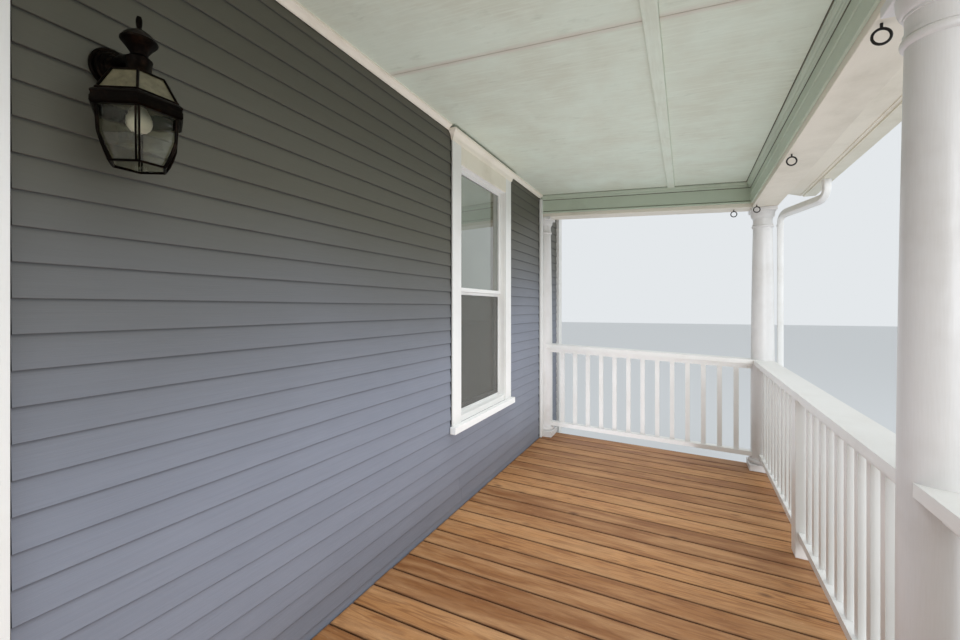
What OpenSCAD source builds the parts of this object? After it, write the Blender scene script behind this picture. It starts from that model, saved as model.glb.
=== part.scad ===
// Front porch of an old farmhouse, with the stretch of house wall behind it.
// Three bays stand on a raised deck: a middle bay with the steps and the door, and two railed ends.
// X runs along the facade, Y points into the house and Z is up. The ground is at Z = 0.
// The deck, the end rails, the end beams and the ceiling all fall gently away from the house.

/* [Bays] */
// Width of the middle bay, between column centres
centre_bay = 3290; // [2900:10:3900]
// Width of each end bay, between column centres
end_bay = 2945; // [2500:5:3400]
// Distance from the wall's face to the line of the columns
porch_depth = 1936; // [1700:2:2400]
// Length of wall past the centre of each corner column
wall_overrun = 635; // [400:5:900]

/* [Heights] */
// Height of the deck above the ground, at the wall
deck_height = 600; // [560:5:750]
// Fall of the deck and the ceiling away from the house, per metre
fall = 40; // [0:1:45]
// Height of the columns, from the deck to the beam
column_height = 2230; // [2050:5:2500]
// Height of the ceiling above the beam's underside, at the columns
ceiling_up = 210; // [180:5:225]

/* [House wall] */
// Thickness of the framed wall
wall_t = 120; // [90:5:200]
// Thickness of the boards on the outer side of the studs
wall_board_t = 19; // [12:1:25]
// Thickness of the studs, plates and window sills in the framed wall
stud_t = 38; // [35:1:50]
// Distance between the studs, which is adjusted a little to fit the wall's length
stud_pitch = 610; // [550:5:700]
// Height of the headers over the window and door openings
header_h = 184; // [140:2:240]
// Thickness of the clapboard siding
siding_t = 20; // [15:1:30]
// Height of the foundation
foundation_h = 450; // [300:10:520]
// Height of wall above the porch roof
wall_above_roof = 120; // [60:10:400]
// Width of the corner boards
corner_board_w = 120; // [90:5:160]
// Thickness of the corner boards
corner_board_t = 26; // [22:1:35]
// Height of the moulding along the top of the wall
crown_h = 34; // [20:1:60]
// Depth of the moulding along the top of the wall
crown_d = 30; // [15:1:60]
// Width of the boards in the porch's inner corners
inner_board_w = 53; // [30:1:90]
// Thickness of the boards in the porch's inner corners
inner_board_t = 22; // [12:1:30]

/* [Windows] */
// Distance from the door's centre to each window's centre
window_x = 3095; // [2900:5:3250]
// Width of the window opening
window_w = 830; // [600:5:900]
// Height of the window opening
window_h = 1703; // [1300:1:1750]
// Height of the window sill above the deck
sill_height = 555; // [450:5:600]
// Width of the casings beside windows and door
casing_w = 116; // [80:1:150]
// Distance that casings stand out from the siding
casing_t = 10; // [8:1:30]
// Height of the moulding along the top of a header
header_cap_h = 62; // [40:1:80]
// Depth of the moulding along the top of a header
header_cap_d = 43; // [25:1:60]
// Gap between a header's moulding and the ceiling
header_gap = 22; // [12:1:40]
// Thickness of the window sill
sill_t = 46; // [30:1:60]
// Distance that the sill stands out from the siding
sill_out = 40; // [30:1:80]
// Length of the sill's horns past the casings
sill_horn = 20; // [5:1:40]
// Thickness of the window's jambs and head
jamb_t = 22; // [15:1:30]
// Height of the frame's bottom above the sill
sill_rise = 40; // [20:1:60]
// Width of the sash stiles
sash_w = 36; // [25:1:55]
// Height of a sash's bottom rail
bottom_rail_h = 46; // [36:1:80]
// Height of the upper sash's top rail and of both meeting rails
meeting_rail_h = 26; // [20:1:45]
// Thickness of a sash
sash_t = 32; // [25:1:40]

/* [Door] */
// Width of the door leaf
door_w = 874; // [750:2:950]
// Height of the door leaf
door_h = 2115; // [1950:5:2150]
// Thickness of the door leaf
door_t = 44; // [35:1:50]
// Height of the threshold
threshold_h = 28; // [15:1:40]
// Thickness of the door frame
door_frame_t = 32; // [20:1:45]
// Gap around the door leaf
door_gap = 3; // [2:0.5:5]

/* [Deck] */
// Thickness of the deck boards
board_t = 26; // [20:1:38]
// Distance from the column line to the deck's edge
deck_overhang = 112; // [112:1:170]
// Width of the joists
joist_w = 38; // [35:1:50]
// Height of the deck joists
joist_h = 140; // [90:5:150]
// Number of joists under the deck
joist_count = 6; // [4:1:8]
// Width of the girders
girder_w = 90; // [70:5:140]
// Height of the girders
girder_h = 130; // [90:5:140]
// Width of the piers
pier_w = 200; // [150:5:215]
// Height of the trim board around the deck
apron_h = 230; // [150:5:260]
// Thickness of the trim board around the deck
apron_t = 20; // [18:1:30]
// Thickness of the skirting slats
slat_t = 18; // [15:1:20]
// Width of a skirting slat
slat_w = 70; // [50:5:100]
// Gap between skirting slats
slat_gap = 22; // [15:1:40]
// Gap between the ground and the skirting
skirt_gap = 25; // [10:5:60]

/* [Columns] */
// Diameter of a column's shaft at the bottom
shaft_d = 178; // [150:1:200]
// Diameter of a column's shaft at the top
neck_d = 143; // [120:1:160]
// Width of the square plinth
plinth_w = 220; // [204:2:222]
// Height of the square plinth
plinth_h = 56; // [40:1:80]
// Height of the round base
base_h = 52; // [30:1:70]
// Width of the square block at the top
abacus_w = 190; // [184:2:220]
// Height of the square block at the top
abacus_h = 32; // [25:1:60]
// Height of the flared part under the block
echinus_h = 60; // [40:1:70]
// Height of the neck between the flare and the ring
neck_h = 41; // [30:1:80]
// Height of the ring around the neck
ring_h = 37; // [20:1:45]
// Distance that the ring stands out
ring_out = 10; // [6:1:16]

/* [Railing] */
// Height of the rail cap's top above the deck
rail_height = 935; // [850:5:1100]
// Width of the rail cap
cap_w = 148; // [140:2:200]
// Thickness of the rail cap
cap_t = 38; // [25:1:50]
// Width of the rail under the cap
subrail_w = 64; // [50:1:90]
// Height of the rail under the cap
subrail_h = 42; // [30:1:60]
// Width of the bottom rail
foot_rail_w = 70; // [60:1:100]
// Height of the bottom rail
foot_rail_h = 38; // [30:1:50]
// Gap between the deck and the bottom rail
foot_gap = 105; // [80:5:150]
// Width of a baluster
baluster_w = 38; // [30:1:45]
// Largest gap between balusters
baluster_gap = 92; // [80:1:110]
// Width of the posts in the middle of the railings
mid_post_w = 100; // [89:1:110]
// Width of the newel posts beside the steps
newel_w = 115; // [100:1:140]
// Height of the newel posts above the deck
newel_h = 1080; // [1000:5:1200]

/* [Steps] */
// Clear width of the steps, between the newel posts
step_width = 1500; // [1200:10:1700]
// Number of risers up to the deck
riser_count = 3; // [3:1:4]
// Depth of a tread from riser to riser
tread_run = 280; // [250:5:320]
// Thickness of a tread
tread_t = 38; // [30:1:45]
// Distance that a tread stands out over its riser
nosing = 25; // [10:1:35]
// Thickness of a riser board
riser_t = 20; // [18:1:25]
// Thickness of the stringers
stringer_t = 40; // [35:1:50]

/* [Beams and ceiling] */
// Width of the beams
beam_w = 200; // [180:2:230]
// Height of the beams
beam_h = 240; // [225:5:260]
// Thickness of the boards on the beams' inner faces
lining_t = 13; // [10:1:20]
// Height of the moulding between beam and ceiling
bed_h = 45; // [40:1:80]
// Depth of the moulding between beam and ceiling
bed_d = 30; // [20:1:50]
// Thickness of the ceiling panels
panel_t = 10; // [6:1:20]
// Width of a ceiling panel, which sets the batten's place
panel_w = 1219; // [900:1:1300]
// Width of the battens
batten_w = 60; // [30:1:70]
// Thickness of the battens
batten_t = 12; // [8:1:20]

/* [Roof] */
// Slope of the roof in degrees
roof_pitch = 16; // [14:1:20]
// Width of a rafter
rafter_w = 38; // [35:1:50]
// Height of a rafter across its slope
rafter_h = 89; // [80:1:120]
// Number of bays between rafters
rafter_bays = 16; // [12:1:20]
// Distance from the column line to the fascia's face
eave_out = 320; // [280:5:400]
// Distance that the roof stands out past the end beams
rake_out = 80; // [50:5:140]
// Thickness of the roof boarding
sheathing_t = 19; // [15:1:25]
// Thickness of the roof covering
shingle_t = 12; // [8:1:20]
// Height of the eave's soffit above the beam's underside
soffit_up = 122; // [80:2:135]
// Thickness of the soffit boards
soffit_t = 12; // [10:1:15]
// Thickness of the fascia and rake boards
fascia_t = 20; // [18:1:30]
// Height of the rake boards
rake_h = 130; // [100:5:150]

/* [Gutter] */
// Width of the gutter
gutter_w = 116; // [100:2:130]
// Height of the gutter
gutter_h = 130; // [100:2:150]
// Thickness of the gutter's metal
gutter_t = 3; // [2:0.5:4]
// Width of a downspout along the facade
spout_w = 72; // [60:2:80]
// Depth of a downspout
spout_d = 50; // [45:1:54]
// Height of a downspout's lower end above the ground
spout_end = 110; // [80:5:200]
// Distance from the corner column to the gutter's outlet
outlet_in = 366; // [250:2:450]

/* [Lanterns] */
// Distance from the door's centre to each lantern's centre
lantern_x = 756; // [740:1:900]
// Height of a lantern's arm above the deck
lantern_height = 1910; // [1700:5:2100]
// Distance from the wall to a lantern's centre line
lantern_out = 117; // [110:1:150]
// Width of a lantern's band between opposite corners
lantern_w = 206; // [180:2:220]
// Height of a lantern's band
band_h = 30; // [20:1:45]
// Width of the glazed cage under the band
cage_w = 182; // [150:2:190]
// Width of the cage's foot
cage_foot_w = 116; // [90:2:130]
// Height of the cage
cage_h = 138; // [120:1:200]
// Height of the sloping panes over the band
lantern_roof_h = 67; // [50:1:80]
// Width between corners at the top of the sloping panes
lantern_roof_w = 116; // [90:2:140]
// Diameter of the round wall plate
wall_plate_d = 106; // [90:2:120]
// Diameter of a lantern's arm
arm_d = 36; // [24:1:42]

/* [Ring hooks] */
// Diameter of a ring, to the middle of its wire
hook_d = 46; // [35:1:60]
// Diameter of the ring's wire
hook_wire = 8; // [5:1:10]
// Distance of the outer hooks from the columns beside them
hook_inset = 180; // [150:5:300]
// Distance of the middle hooks from the middle posts, towards the door
mid_hook_in = 45; // [0:5:120]
// Distance from the column line to the hooks under the front beam
hook_back = 65; // [0:1:80]
// Distance from the column line to the hooks under the end beams
end_hook_back = 215; // [150:5:400]

/* [Hidden] */
$fn = 48;
slope = fall / 1000;
half_centre = centre_bay / 2;
corner_x = half_centre + end_bay;
mid_post_x = half_centre + end_bay / 2;
house_x = corner_x + wall_overrun;
deck_x = corner_x + deck_overhang;
deck_d = porch_depth + deck_overhang;
column_z = deck_height - slope * porch_depth;
edge_z = deck_height - slope * deck_d;
beam_z = column_z + column_height;
beam_top = beam_z + beam_h;
beam_in = porch_depth - beam_w / 2;
beam_front = porch_depth + beam_w / 2;
ceiling_wall_z = beam_z + ceiling_up + slope * porch_depth;
beam_end_x = corner_x + beam_w / 2;
room_x = corner_x - beam_w / 2;
back_y = siding_t + wall_t;

// The rafters sit in a notch on the beam's outer top edge
seat = 80;
roof_tan = tan(roof_pitch);
rafter_v = rafter_h / cos(roof_pitch);
sheathing_v = sheathing_t / cos(roof_pitch);
shingle_v = shingle_t / cos(roof_pitch);
rake_v = rake_h / cos(roof_pitch);
fascia_d = porch_depth + eave_out;
soffit_z = beam_z + soffit_up;
roof_end_x = beam_end_x + rake_out;
drip = 12;

// The door's head is close to the height of the windows' heads
window_z = deck_height + sill_height;
head_z = window_z + window_h;
door_open_w = door_w + 2 * (door_gap + door_frame_t);
door_z = deck_height + threshold_h + door_gap;
door_open_top = door_z + door_h + door_gap + door_frame_t;
frame_d = 100;
glass_t = 6;
sash_in = 34;
reveal = 4;
door_in = 30;
door_stop = 13;

// The joists are spread evenly from the wall to the trim board
joist_gap = (deck_d - apron_t - joist_w) / (joist_count - 1);
girder_drop = board_t + joist_h;

// Steps stand in front of the deck's trim board
step_front = deck_d + apron_t + (riser_count - 1) * tread_run + nosing;
riser_h = edge_z / riser_count;

// The whole porch is centred on the origin
origin_y = (step_front - back_y) / 2;

white = "#e9e7e0";
cream = "#e3ddcb";
ceiling_green = "#b5bfb0";
siding_blue = "#6a7078";
deck_brown = "#a5713f";
timber = "#c2a57c";
masonry = "#9a9792";
bronze = "#2e2823";

// Heights of the sloping planes, d in front of the wall's face
function deck_z(d) = deck_height - slope * d;
function ceiling_z(d) = ceiling_wall_z - slope * d;
function beam_under(d) = beam_z + slope * (porch_depth - d);
function rafter_under(d) = beam_top - seat * roof_tan + (beam_front - d) * roof_tan;
function rafter_over(d) = rafter_under(d) + rafter_v;

// Puts the part in its own frame
module placed() {
  translate([0, origin_y, 0]) children();
}

// A box between two corners, with d counted outwards from the wall's face
module block(x0, x1, d0, d1, z0, z1) {
  translate([x0, -d1, z0]) cube([x1 - x0, d1 - d0, z1 - z0]);
}

// A profile drawn in distance from the wall and height, stretched along the facade
module along_x(x0, x1, profile) {
  translate([x0, 0, 0]) rotate([90, 0, 90]) linear_extrude(x1 - x0)
    polygon([for (p = profile) [-p[0], p[1]]]);
}

// A bar that runs out from the wall and falls with the deck
module falling_bar(x0, x1, d0, d1, top, depth) {
  along_x(x0, x1, [
    [d0, top - slope * d0], [d1, top - slope * d1],
    [d1, top - slope * d1 - depth], [d0, top - slope * d0 - depth]
  ]);
}

// The same piece on the left and on the right
module both_sides() {
  children();
  mirror([1, 0, 0]) children();
}

// The house wall

wall_top_z = rafter_over(0) + sheathing_v + shingle_v + wall_above_roof;

module foundation_wall() {
  color(masonry) placed() block(-house_x, house_x, -back_y, -siding_t / 2, 0, foundation_h);
}

// The openings for the windows and the door, cut through any thickness of wall
module wall_openings(d0, d1) {
  both_sides()
    block(window_x - window_w / 2, window_x + window_w / 2, d0, d1, window_z, head_z);
  block(-door_open_w / 2, door_open_w / 2, d0, d1, deck_height, door_open_top);
}

// Studs beside an opening, with its header and sill: they stay when the bays are cut
module opening_framing(half_w, bottom, head) {
  d1 = 1 - siding_t - wall_board_t;
  for (x = [-half_w - 2 * stud_t, half_w])
    block(x, x + 2 * stud_t, -back_y - 2, d1, foundation_h, wall_top_z);
  block(-half_w - 1, half_w + 1, -back_y - 2, d1, bottom - stud_t, head + header_h);
}

// The hollows between studs, plates and headers, open at the wall's inner side
module stud_bays() {
  inside = house_x - stud_t;
  bays = round((2 * house_x - stud_t) / stud_pitch);
  step = (2 * house_x - stud_t) / bays;
  d1 = -siding_t - wall_board_t;
  difference() {
    block(-inside, inside, -back_y - 1, d1, foundation_h + stud_t, wall_top_z - 2 * stud_t);
    for (i = [1:bays - 1])
      translate([-house_x + i * step, 0, 0])
        block(0, stud_t, -back_y - 2, d1 + 1, foundation_h, wall_top_z);
    both_sides() translate([window_x, 0, 0])
      opening_framing(window_w / 2, window_z, head_z);
    opening_framing(door_open_w / 2, foundation_h, door_open_top);
  }
}

module house_wall() {
  color(timber) placed() difference() {
    block(-house_x, house_x, -back_y, -siding_t, foundation_h, wall_top_z);
    wall_openings(-back_y - 1, -siding_t + 1);
    stud_bays();
  }
}

module wall_siding() {
  color(siding_blue) placed() difference() {
    block(-house_x, house_x, -siding_t, 0, foundation_h, wall_top_z);
    wall_openings(-siding_t - 1, 1);
  }
}

// A board in the corner between the wall and the end beam's lining, from the deck to the mouldings
module inner_board(x0, x1, t) {
  drop = max(bed_h, crown_h);
  along_x(x0, x1, [
    [0, deck_z(0)], [t, deck_z(t)], [t, ceiling_z(t) - drop], [0, ceiling_z(0) - drop]
  ]);
}

// Boards end the siding at the wall's ends and in the porch's inner corners
module corner_boards() {
  color(white) placed() both_sides() {
    block(house_x - corner_board_w, house_x, 0, corner_board_t, foundation_h, wall_top_z);
    inner_board(room_x - inner_board_w, room_x, inner_board_t);
  }
}

// The headers stop short of the ceiling
header_top = ceiling_wall_z - header_gap;

// How far the header's moulding stands out, from its lower edge to its top
header_cap_steps = [[0, 0], [0.1, 0], [0.35, 0.4], [0.65, 0.7], [1, 0.85], [1, 1]];

// The moulding returns to the wall at both ends of the header
module header_cap(half) {
  z0 = header_top - header_cap_h;
  front = [for (s = header_cap_steps) [casing_t + s[0] * header_cap_d, z0 + s[1] * header_cap_h]];
  right = [for (s = header_cap_steps) [half + s[0] * header_cap_d, z0 + s[1] * header_cap_h]];
  left = [for (i = [len(right) - 1 : -1 : 0]) [-right[i][0], right[i][1]]];
  reach = casing_t + header_cap_d;
  intersection() {
    along_x(-half - header_cap_d, half + header_cap_d, concat([[0, z0]], front, [[0, header_top]]));
    rotate([90, 0, 0]) linear_extrude(reach) polygon(concat(right, left));
  }
}

// Flat boards beside an opening, with a header board and its moulding over them
module casing_frame(inner_half, bottom, head) {
  half = inner_half + casing_w;
  difference() {
    block(-half, half, 0, casing_t, bottom, header_top);
    block(-inner_half, inner_half, -1, casing_t + 1, bottom - 1, head);
  }
  header_cap(half);
}

// The casings leave a narrow edge of each frame in sight
window_inner = window_w / 2 - jamb_t + reveal;
door_inner = door_open_w / 2 - door_frame_t + reveal;

module casings() {
  color(white) placed() {
    both_sides() translate([window_x, 0, 0])
      casing_frame(window_inner, window_z, head_z - jamb_t + reveal);
    casing_frame(door_inner, deck_height, door_open_top - door_frame_t + reveal);
  }
}

sash_half = window_w / 2 - jamb_t;
sash_bottom = window_z + sill_rise;
sash_top = head_z - jamb_t;

module window_frames() {
  color(white) placed() both_sides() difference() {
    block(window_x - window_w / 2, window_x + window_w / 2, -frame_d, 0, window_z, head_z);
    block(window_x - sash_half, window_x + sash_half, -frame_d - 1, 1, sash_bottom, sash_top);
  }
}

module window_sills() {
  sill_half = window_inner + casing_w + sill_horn;
  color(white) placed() both_sides()
    block(window_x - sill_half, window_x + sill_half, 0, sill_out, window_z - sill_t, window_z);
}

// Both sashes have panes of one height, and the upper sash sits in front of the lower one
pane_h = (sash_top - sash_bottom - bottom_rail_h - 2 * meeting_rail_h) / 2;
lower_pane_z = sash_bottom + bottom_rail_h;
upper_pane_z = lower_pane_z + pane_h + meeting_rail_h;
lower_sash_d = -sash_in - 2 * sash_t;
upper_sash_d = -sash_in - sash_t;

module sash(d0, pane_z, low_rail) {
  difference() {
    block(window_x - sash_half, window_x + sash_half, d0, d0 + sash_t,
      pane_z - low_rail, pane_z + pane_h + meeting_rail_h);
    block(window_x - sash_half + sash_w, window_x + sash_half - sash_w, d0 - 1, d0 + sash_t + 1,
      pane_z, pane_z + pane_h);
  }
}

module window_sashes() {
  color(white) placed() both_sides() {
    sash(upper_sash_d, upper_pane_z, meeting_rail_h);
    sash(lower_sash_d, lower_pane_z, bottom_rail_h);
  }
}

module sash_pane(d0, pane_z) {
  half = sash_half - sash_w;
  block(window_x - half, window_x + half, d0 + (sash_t - glass_t) / 2, d0 + (sash_t + glass_t) / 2,
    pane_z, pane_z + pane_h);
}

module window_glass() {
  color("#8d989b") placed() both_sides() {
    sash_pane(upper_sash_d, upper_pane_z);
    sash_pane(lower_sash_d, lower_pane_z);
  }
}

// The front door

// The leaf shuts against a stop on the frame's outer side
module door_frame() {
  half = door_open_w / 2;
  head = door_z + door_h + door_gap;
  color(white) placed() difference() {
    block(-half, half, -frame_d, 0, deck_height, door_open_top);
    block(-half + door_frame_t, half - door_frame_t, -frame_d - 1, -door_in,
      deck_height + threshold_h, head);
    block(-half + door_frame_t + door_stop, half - door_frame_t - door_stop, -frame_d - 1, 1,
      deck_height + threshold_h, head - door_stop);
  }
}

// The leaf has four sunk panels on its outer face
panel_sink = 12;

module front_door() {
  stile = door_w * 0.13;
  mid = door_w * 0.06;
  low_top = door_z + door_h * 0.42;
  high_bottom = low_top + door_h * 0.08;
  color("#5c3a28") placed() difference() {
    block(-door_w / 2, door_w / 2, -door_in - door_t, -door_in, door_z, door_z + door_h);
    both_sides() {
      block(mid, door_w / 2 - stile, -door_in - panel_sink, -door_in + 1,
        door_z + stile * 1.6, low_top);
      block(mid, door_w / 2 - stile, -door_in - panel_sink, -door_in + 1,
        high_bottom, door_z + door_h - stile);
    }
  }
}

knob_d = 52;
knob_height = 960;

module door_knob() {
  x = door_w / 2 - door_w * 0.065;
  color("#a08545") placed() translate([x, 0, door_z + knob_height]) translate([0, door_in, 0])
    rotate([90, 0, 0]) rotate_extrude() polygon([
      [0, 0], [knob_d * 0.6, 0], [knob_d * 0.6, 5], [knob_d * 0.22, 9], [knob_d * 0.2, 30],
      [knob_d * 0.38, 36], [knob_d / 2, 46], [knob_d * 0.42, 58], [knob_d * 0.2, 64], [0, 65]
    ]);
}

// The deck

module deck_floor() {
  color(deck_brown) placed() falling_bar(-deck_x, deck_x, 0, deck_d, deck_height, board_t);
}

// The joists lie along the facade, and each hangs under the boards at its own height
module deck_joists() {
  color(timber) placed() for (i = [0 : joist_count - 1]) {
    d = i * joist_gap;
    along_x(-deck_x + apron_t, deck_x - apron_t, [
      [d, deck_z(d) - board_t], [d + joist_w, deck_z(d + joist_w) - board_t],
      [d + joist_w, deck_z(d + joist_w) - board_t - joist_h], [d, deck_z(d) - board_t - joist_h]
    ]);
  }
}

girder_lines = [-corner_x, -half_centre, half_centre, corner_x];

module deck_girders() {
  color(timber) placed() for (x = girder_lines)
    falling_bar(x - girder_w / 2, x + girder_w / 2, 0, deck_d - apron_t,
      deck_height - girder_drop, girder_h);
}

// The piers stand just behind the skirting
pier_front = deck_d - apron_t - slat_t - 2;
pier_x = min(corner_x, deck_x - apron_t - slat_t - 2 - pier_w / 2);

module pier(x) {
  under = deck_height - girder_drop - girder_h;
  along_x(x - pier_w / 2, x + pier_w / 2, [
    [pier_front - pier_w, 0], [pier_front, 0],
    [pier_front, under - slope * pier_front],
    [pier_front - pier_w, under - slope * (pier_front - pier_w)]
  ]);
}

module piers() {
  color(masonry) placed() both_sides() {
    pier(half_centre);
    pier(pier_x);
  }
}

// Clearance in the joint between a side board of the apron and its front board
apron_joint = 0.6;

// The trim boards hide the joists at the front and at both ends
module deck_apron() {
  color(white) placed() {
    block(-deck_x, deck_x, deck_d - apron_t, deck_d, edge_z - board_t - apron_h, edge_z - board_t);
    both_sides() falling_bar(deck_x - apron_t, deck_x, 0, deck_d - apron_t - apron_joint,
      deck_height - board_t, apron_h);
  }
}

// Upright slats between a top rail and a bottom rail close the space under the deck
skirt_rail_h = 60;

module skirt_slats(x0, x1, d0, z0, z1) {
  count = max(2, round((x1 - x0 + slat_gap) / (slat_w + slat_gap)));
  pitch = (x1 - x0 - slat_w) / (count - 1);
  for (i = [0 : count - 1])
    block(x0 + i * pitch, x0 + i * pitch + slat_w, d0, d0 + slat_t, z0, z1);
  block(x0, x1, d0 - slat_t, d0, z1 - skirt_rail_h, z1);
  block(x0, x1, d0 - slat_t, d0, z0 + skirt_gap, z0 + skirt_gap + skirt_rail_h);
}

skirt_d = deck_d - apron_t;

module front_skirting() {
  top = edge_z - board_t - apron_h;
  step_edge = step_width / 2 + stringer_t;
  translate([0, 0, skirt_gap]) skirt_slats(step_edge, deck_x - apron_t, skirt_d, 0, top - skirt_gap);
}

module end_skirting() {
  count = max(2, round((deck_d - 2 * apron_t + slat_gap) / (slat_w + slat_gap)));
  pitch = (deck_d - 2 * apron_t - slat_w) / (count - 1);
  under = deck_height - board_t - apron_h;
  for (i = [0 : count - 1]) {
    d = i * pitch;
    along_x(deck_x - apron_t, deck_x - apron_t + slat_t, [
      [d, skirt_gap], [d + slat_w, skirt_gap],
      [d + slat_w, under - slope * (d + slat_w)], [d, under - slope * d]
    ]);
  }
  falling_bar(deck_x - apron_t - slat_t, deck_x - apron_t, 0, deck_d - 2 * apron_t,
    under, skirt_rail_h);
  block(deck_x - apron_t - slat_t, deck_x - apron_t, 0, deck_d - 2 * apron_t,
    2 * skirt_gap, 2 * skirt_gap + skirt_rail_h);
}

module deck_skirting() {
  color(white) placed() both_sides() {
    front_skirting();
    end_skirting();
  }
}

// The steps

stringer_lines = [-step_width / 2, -stringer_t / 2, step_width / 2 - stringer_t];
step_d = deck_d + apron_t;

// A stringer is a board cut in steps, on the ground at the front and against the trim board
module stringer(x) {
  tops = [for (i = [1 : riser_count - 1]) let (
    d = step_d - apron_t + (riser_count - i) * tread_run, z = i * riser_h - tread_t)
    each [[d, z], [d - tread_run, z]]];
  first = deck_d + (riser_count - 1) * tread_run;
  along_x(x, x + stringer_t, concat([[deck_d, 0], [first, 0]], tops));
}

module step_stringers() {
  color(white) placed() for (x = stringer_lines) stringer(x);
}

module step_risers() {
  color(white) placed() for (i = [1 : riser_count - 1]) {
    d = deck_d + (riser_count - i) * tread_run;
    z0 = i == 1 ? 0 : (i - 1) * riser_h;
    block(-step_width / 2, step_width / 2, d, d + riser_t, z0, i * riser_h - tread_t);
  }
}

module step_treads() {
  color(deck_brown) placed() for (i = [1 : riser_count - 1]) {
    d = deck_d + (riser_count - i) * tread_run;
    block(-step_width / 2, step_width / 2, d - tread_run, d + riser_t + nosing,
      i * riser_h - tread_t, i * riser_h);
  }
}

// The columns

cap_h = abacus_h + echinus_h + neck_h + ring_h;
shaft_h = column_height - cap_h;

// Radius of the shaft, which swells a little before it narrows
function shaft_r(z) = let (t = max(0, (z - column_height * 0.3) / (shaft_h - column_height * 0.3)))
  shaft_d / 2 - (shaft_d - neck_d) / 2 * (0.35 * t + 0.65 * t * t);

shaft_steps = 8;

module turned_shaft() {
  low = plinth_h + base_h;
  neck_z = shaft_h + ring_h;
  echinus_z = neck_z + neck_h;
  flare = abacus_w / 2 - 6 - neck_d / 2;
  rotate_extrude() polygon(concat(
    [[0, plinth_h], [plinth_w * 0.49, plinth_h], [plinth_w * 0.5, plinth_h + base_h * 0.2],
     [plinth_w * 0.49, plinth_h + base_h * 0.45], [shaft_d / 2 + 5, plinth_h + base_h * 0.62],
     [shaft_d / 2 + 5, plinth_h + base_h * 0.78]],
    [for (i = [0 : shaft_steps]) let (z = low + (shaft_h - low) * i / shaft_steps) [shaft_r(z), z]],
    [[neck_d / 2 + ring_out, shaft_h + ring_h * 0.3], [neck_d / 2 + ring_out, shaft_h + ring_h * 0.55],
     [neck_d / 2 + ring_out * 0.4, neck_z - ring_h * 0.2], [neck_d / 2 + ring_out * 0.4, neck_z],
     [neck_d / 2, neck_z], [neck_d / 2, echinus_z],
     [neck_d / 2 + flare * 0.25, echinus_z], [neck_d / 2 + flare * 0.55, echinus_z + echinus_h * 0.33],
     [neck_d / 2 + flare * 0.85, echinus_z + echinus_h * 0.65],
     [neck_d / 2 + flare, echinus_z + echinus_h * 0.9],
     [neck_d / 2 + flare, column_height - abacus_h], [0, column_height - abacus_h]]
  ));
}

// A column stands with its plinth cut to the fall of the deck
module column(x, d) {
  translate([x, -d, deck_z(d)]) {
    turned_shaft();
    translate([0, 0, column_height - abacus_h / 2]) cube([abacus_w, abacus_w, abacus_h], center = true);
  }
  along_x(x - plinth_w / 2, x + plinth_w / 2, [
    [d - plinth_w / 2, deck_z(d - plinth_w / 2)], [d + plinth_w / 2, deck_z(d + plinth_w / 2)],
    [d + plinth_w / 2, deck_z(d) + plinth_h], [d - plinth_w / 2, deck_z(d) + plinth_h]
  ]);
}

module porch_columns() {
  color(white) placed() both_sides() {
    column(half_centre, porch_depth);
    column(corner_x, porch_depth);
  }
}

// Half a column stands against the wall at each end, under the end beam and scribed to the board
module wall_columns() {
  reach = abacus_w;
  board_x = room_x - inner_board_w;
  color(white) placed() both_sides() difference() {
    intersection() {
      column(corner_x, 0);
      block(corner_x - reach, corner_x + reach, 0, reach, 0, deck_height + column_height);
    }
    along_x(corner_x - reach, corner_x + reach, [
      [-1, beam_under(-1)], [reach, beam_under(reach)],
      [reach, beam_under(-1) + 1], [-1, beam_under(-1) + 1]
    ]);
    block(board_x, room_x, -1, inner_board_t, 0, deck_height + column_height);
  }
}

// The railings

// Balusters are let a little way into the rails
cap_z = rail_height - cap_t;
let_in = 5;
baluster_z = foot_gap + foot_rail_h - let_in;
baluster_top = cap_z - subrail_h + let_in;

// The round shafts that the ends of rails are cut to fit
module shaft_at(x, d) {
  translate([x, -d, deck_z(d)]) turned_shaft();
}

function baluster_count(clear) = max(1, ceil((clear - baluster_gap) / (baluster_w + baluster_gap)));

// A panel along the facade between two posts
module front_panel(x0, x1) {
  d0 = porch_depth;
  z = column_z;
  count = baluster_count(x1 - x0);
  pitch = (x1 - x0 + baluster_w) / (count + 1);
  for (i = [1 : count])
    block(x0 + i * pitch - baluster_w, x0 + i * pitch, d0 - baluster_w / 2, d0 + baluster_w / 2,
      z + baluster_z, z + baluster_top);
}

module front_rails(x0, x1) {
  block(x0, x1, porch_depth - subrail_w / 2, porch_depth + subrail_w / 2,
    column_z + cap_z - subrail_h, column_z + cap_z);
  block(x0, x1, porch_depth - foot_rail_w / 2, porch_depth + foot_rail_w / 2,
    column_z + foot_gap, column_z + foot_gap + foot_rail_h);
}

rail_r = shaft_r(foot_gap);

module front_railing() {
  difference() {
    front_rails(half_centre, mid_post_x - mid_post_w / 2);
    shaft_at(half_centre, porch_depth);
  }
  front_panel(half_centre + rail_r, mid_post_x - mid_post_w / 2);
  difference() {
    front_rails(mid_post_x + mid_post_w / 2, corner_x);
    shaft_at(corner_x, porch_depth);
  }
  front_panel(mid_post_x + mid_post_w / 2, corner_x - rail_r);
}

module front_railings() {
  color(white) placed() both_sides() front_railing();
}

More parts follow.
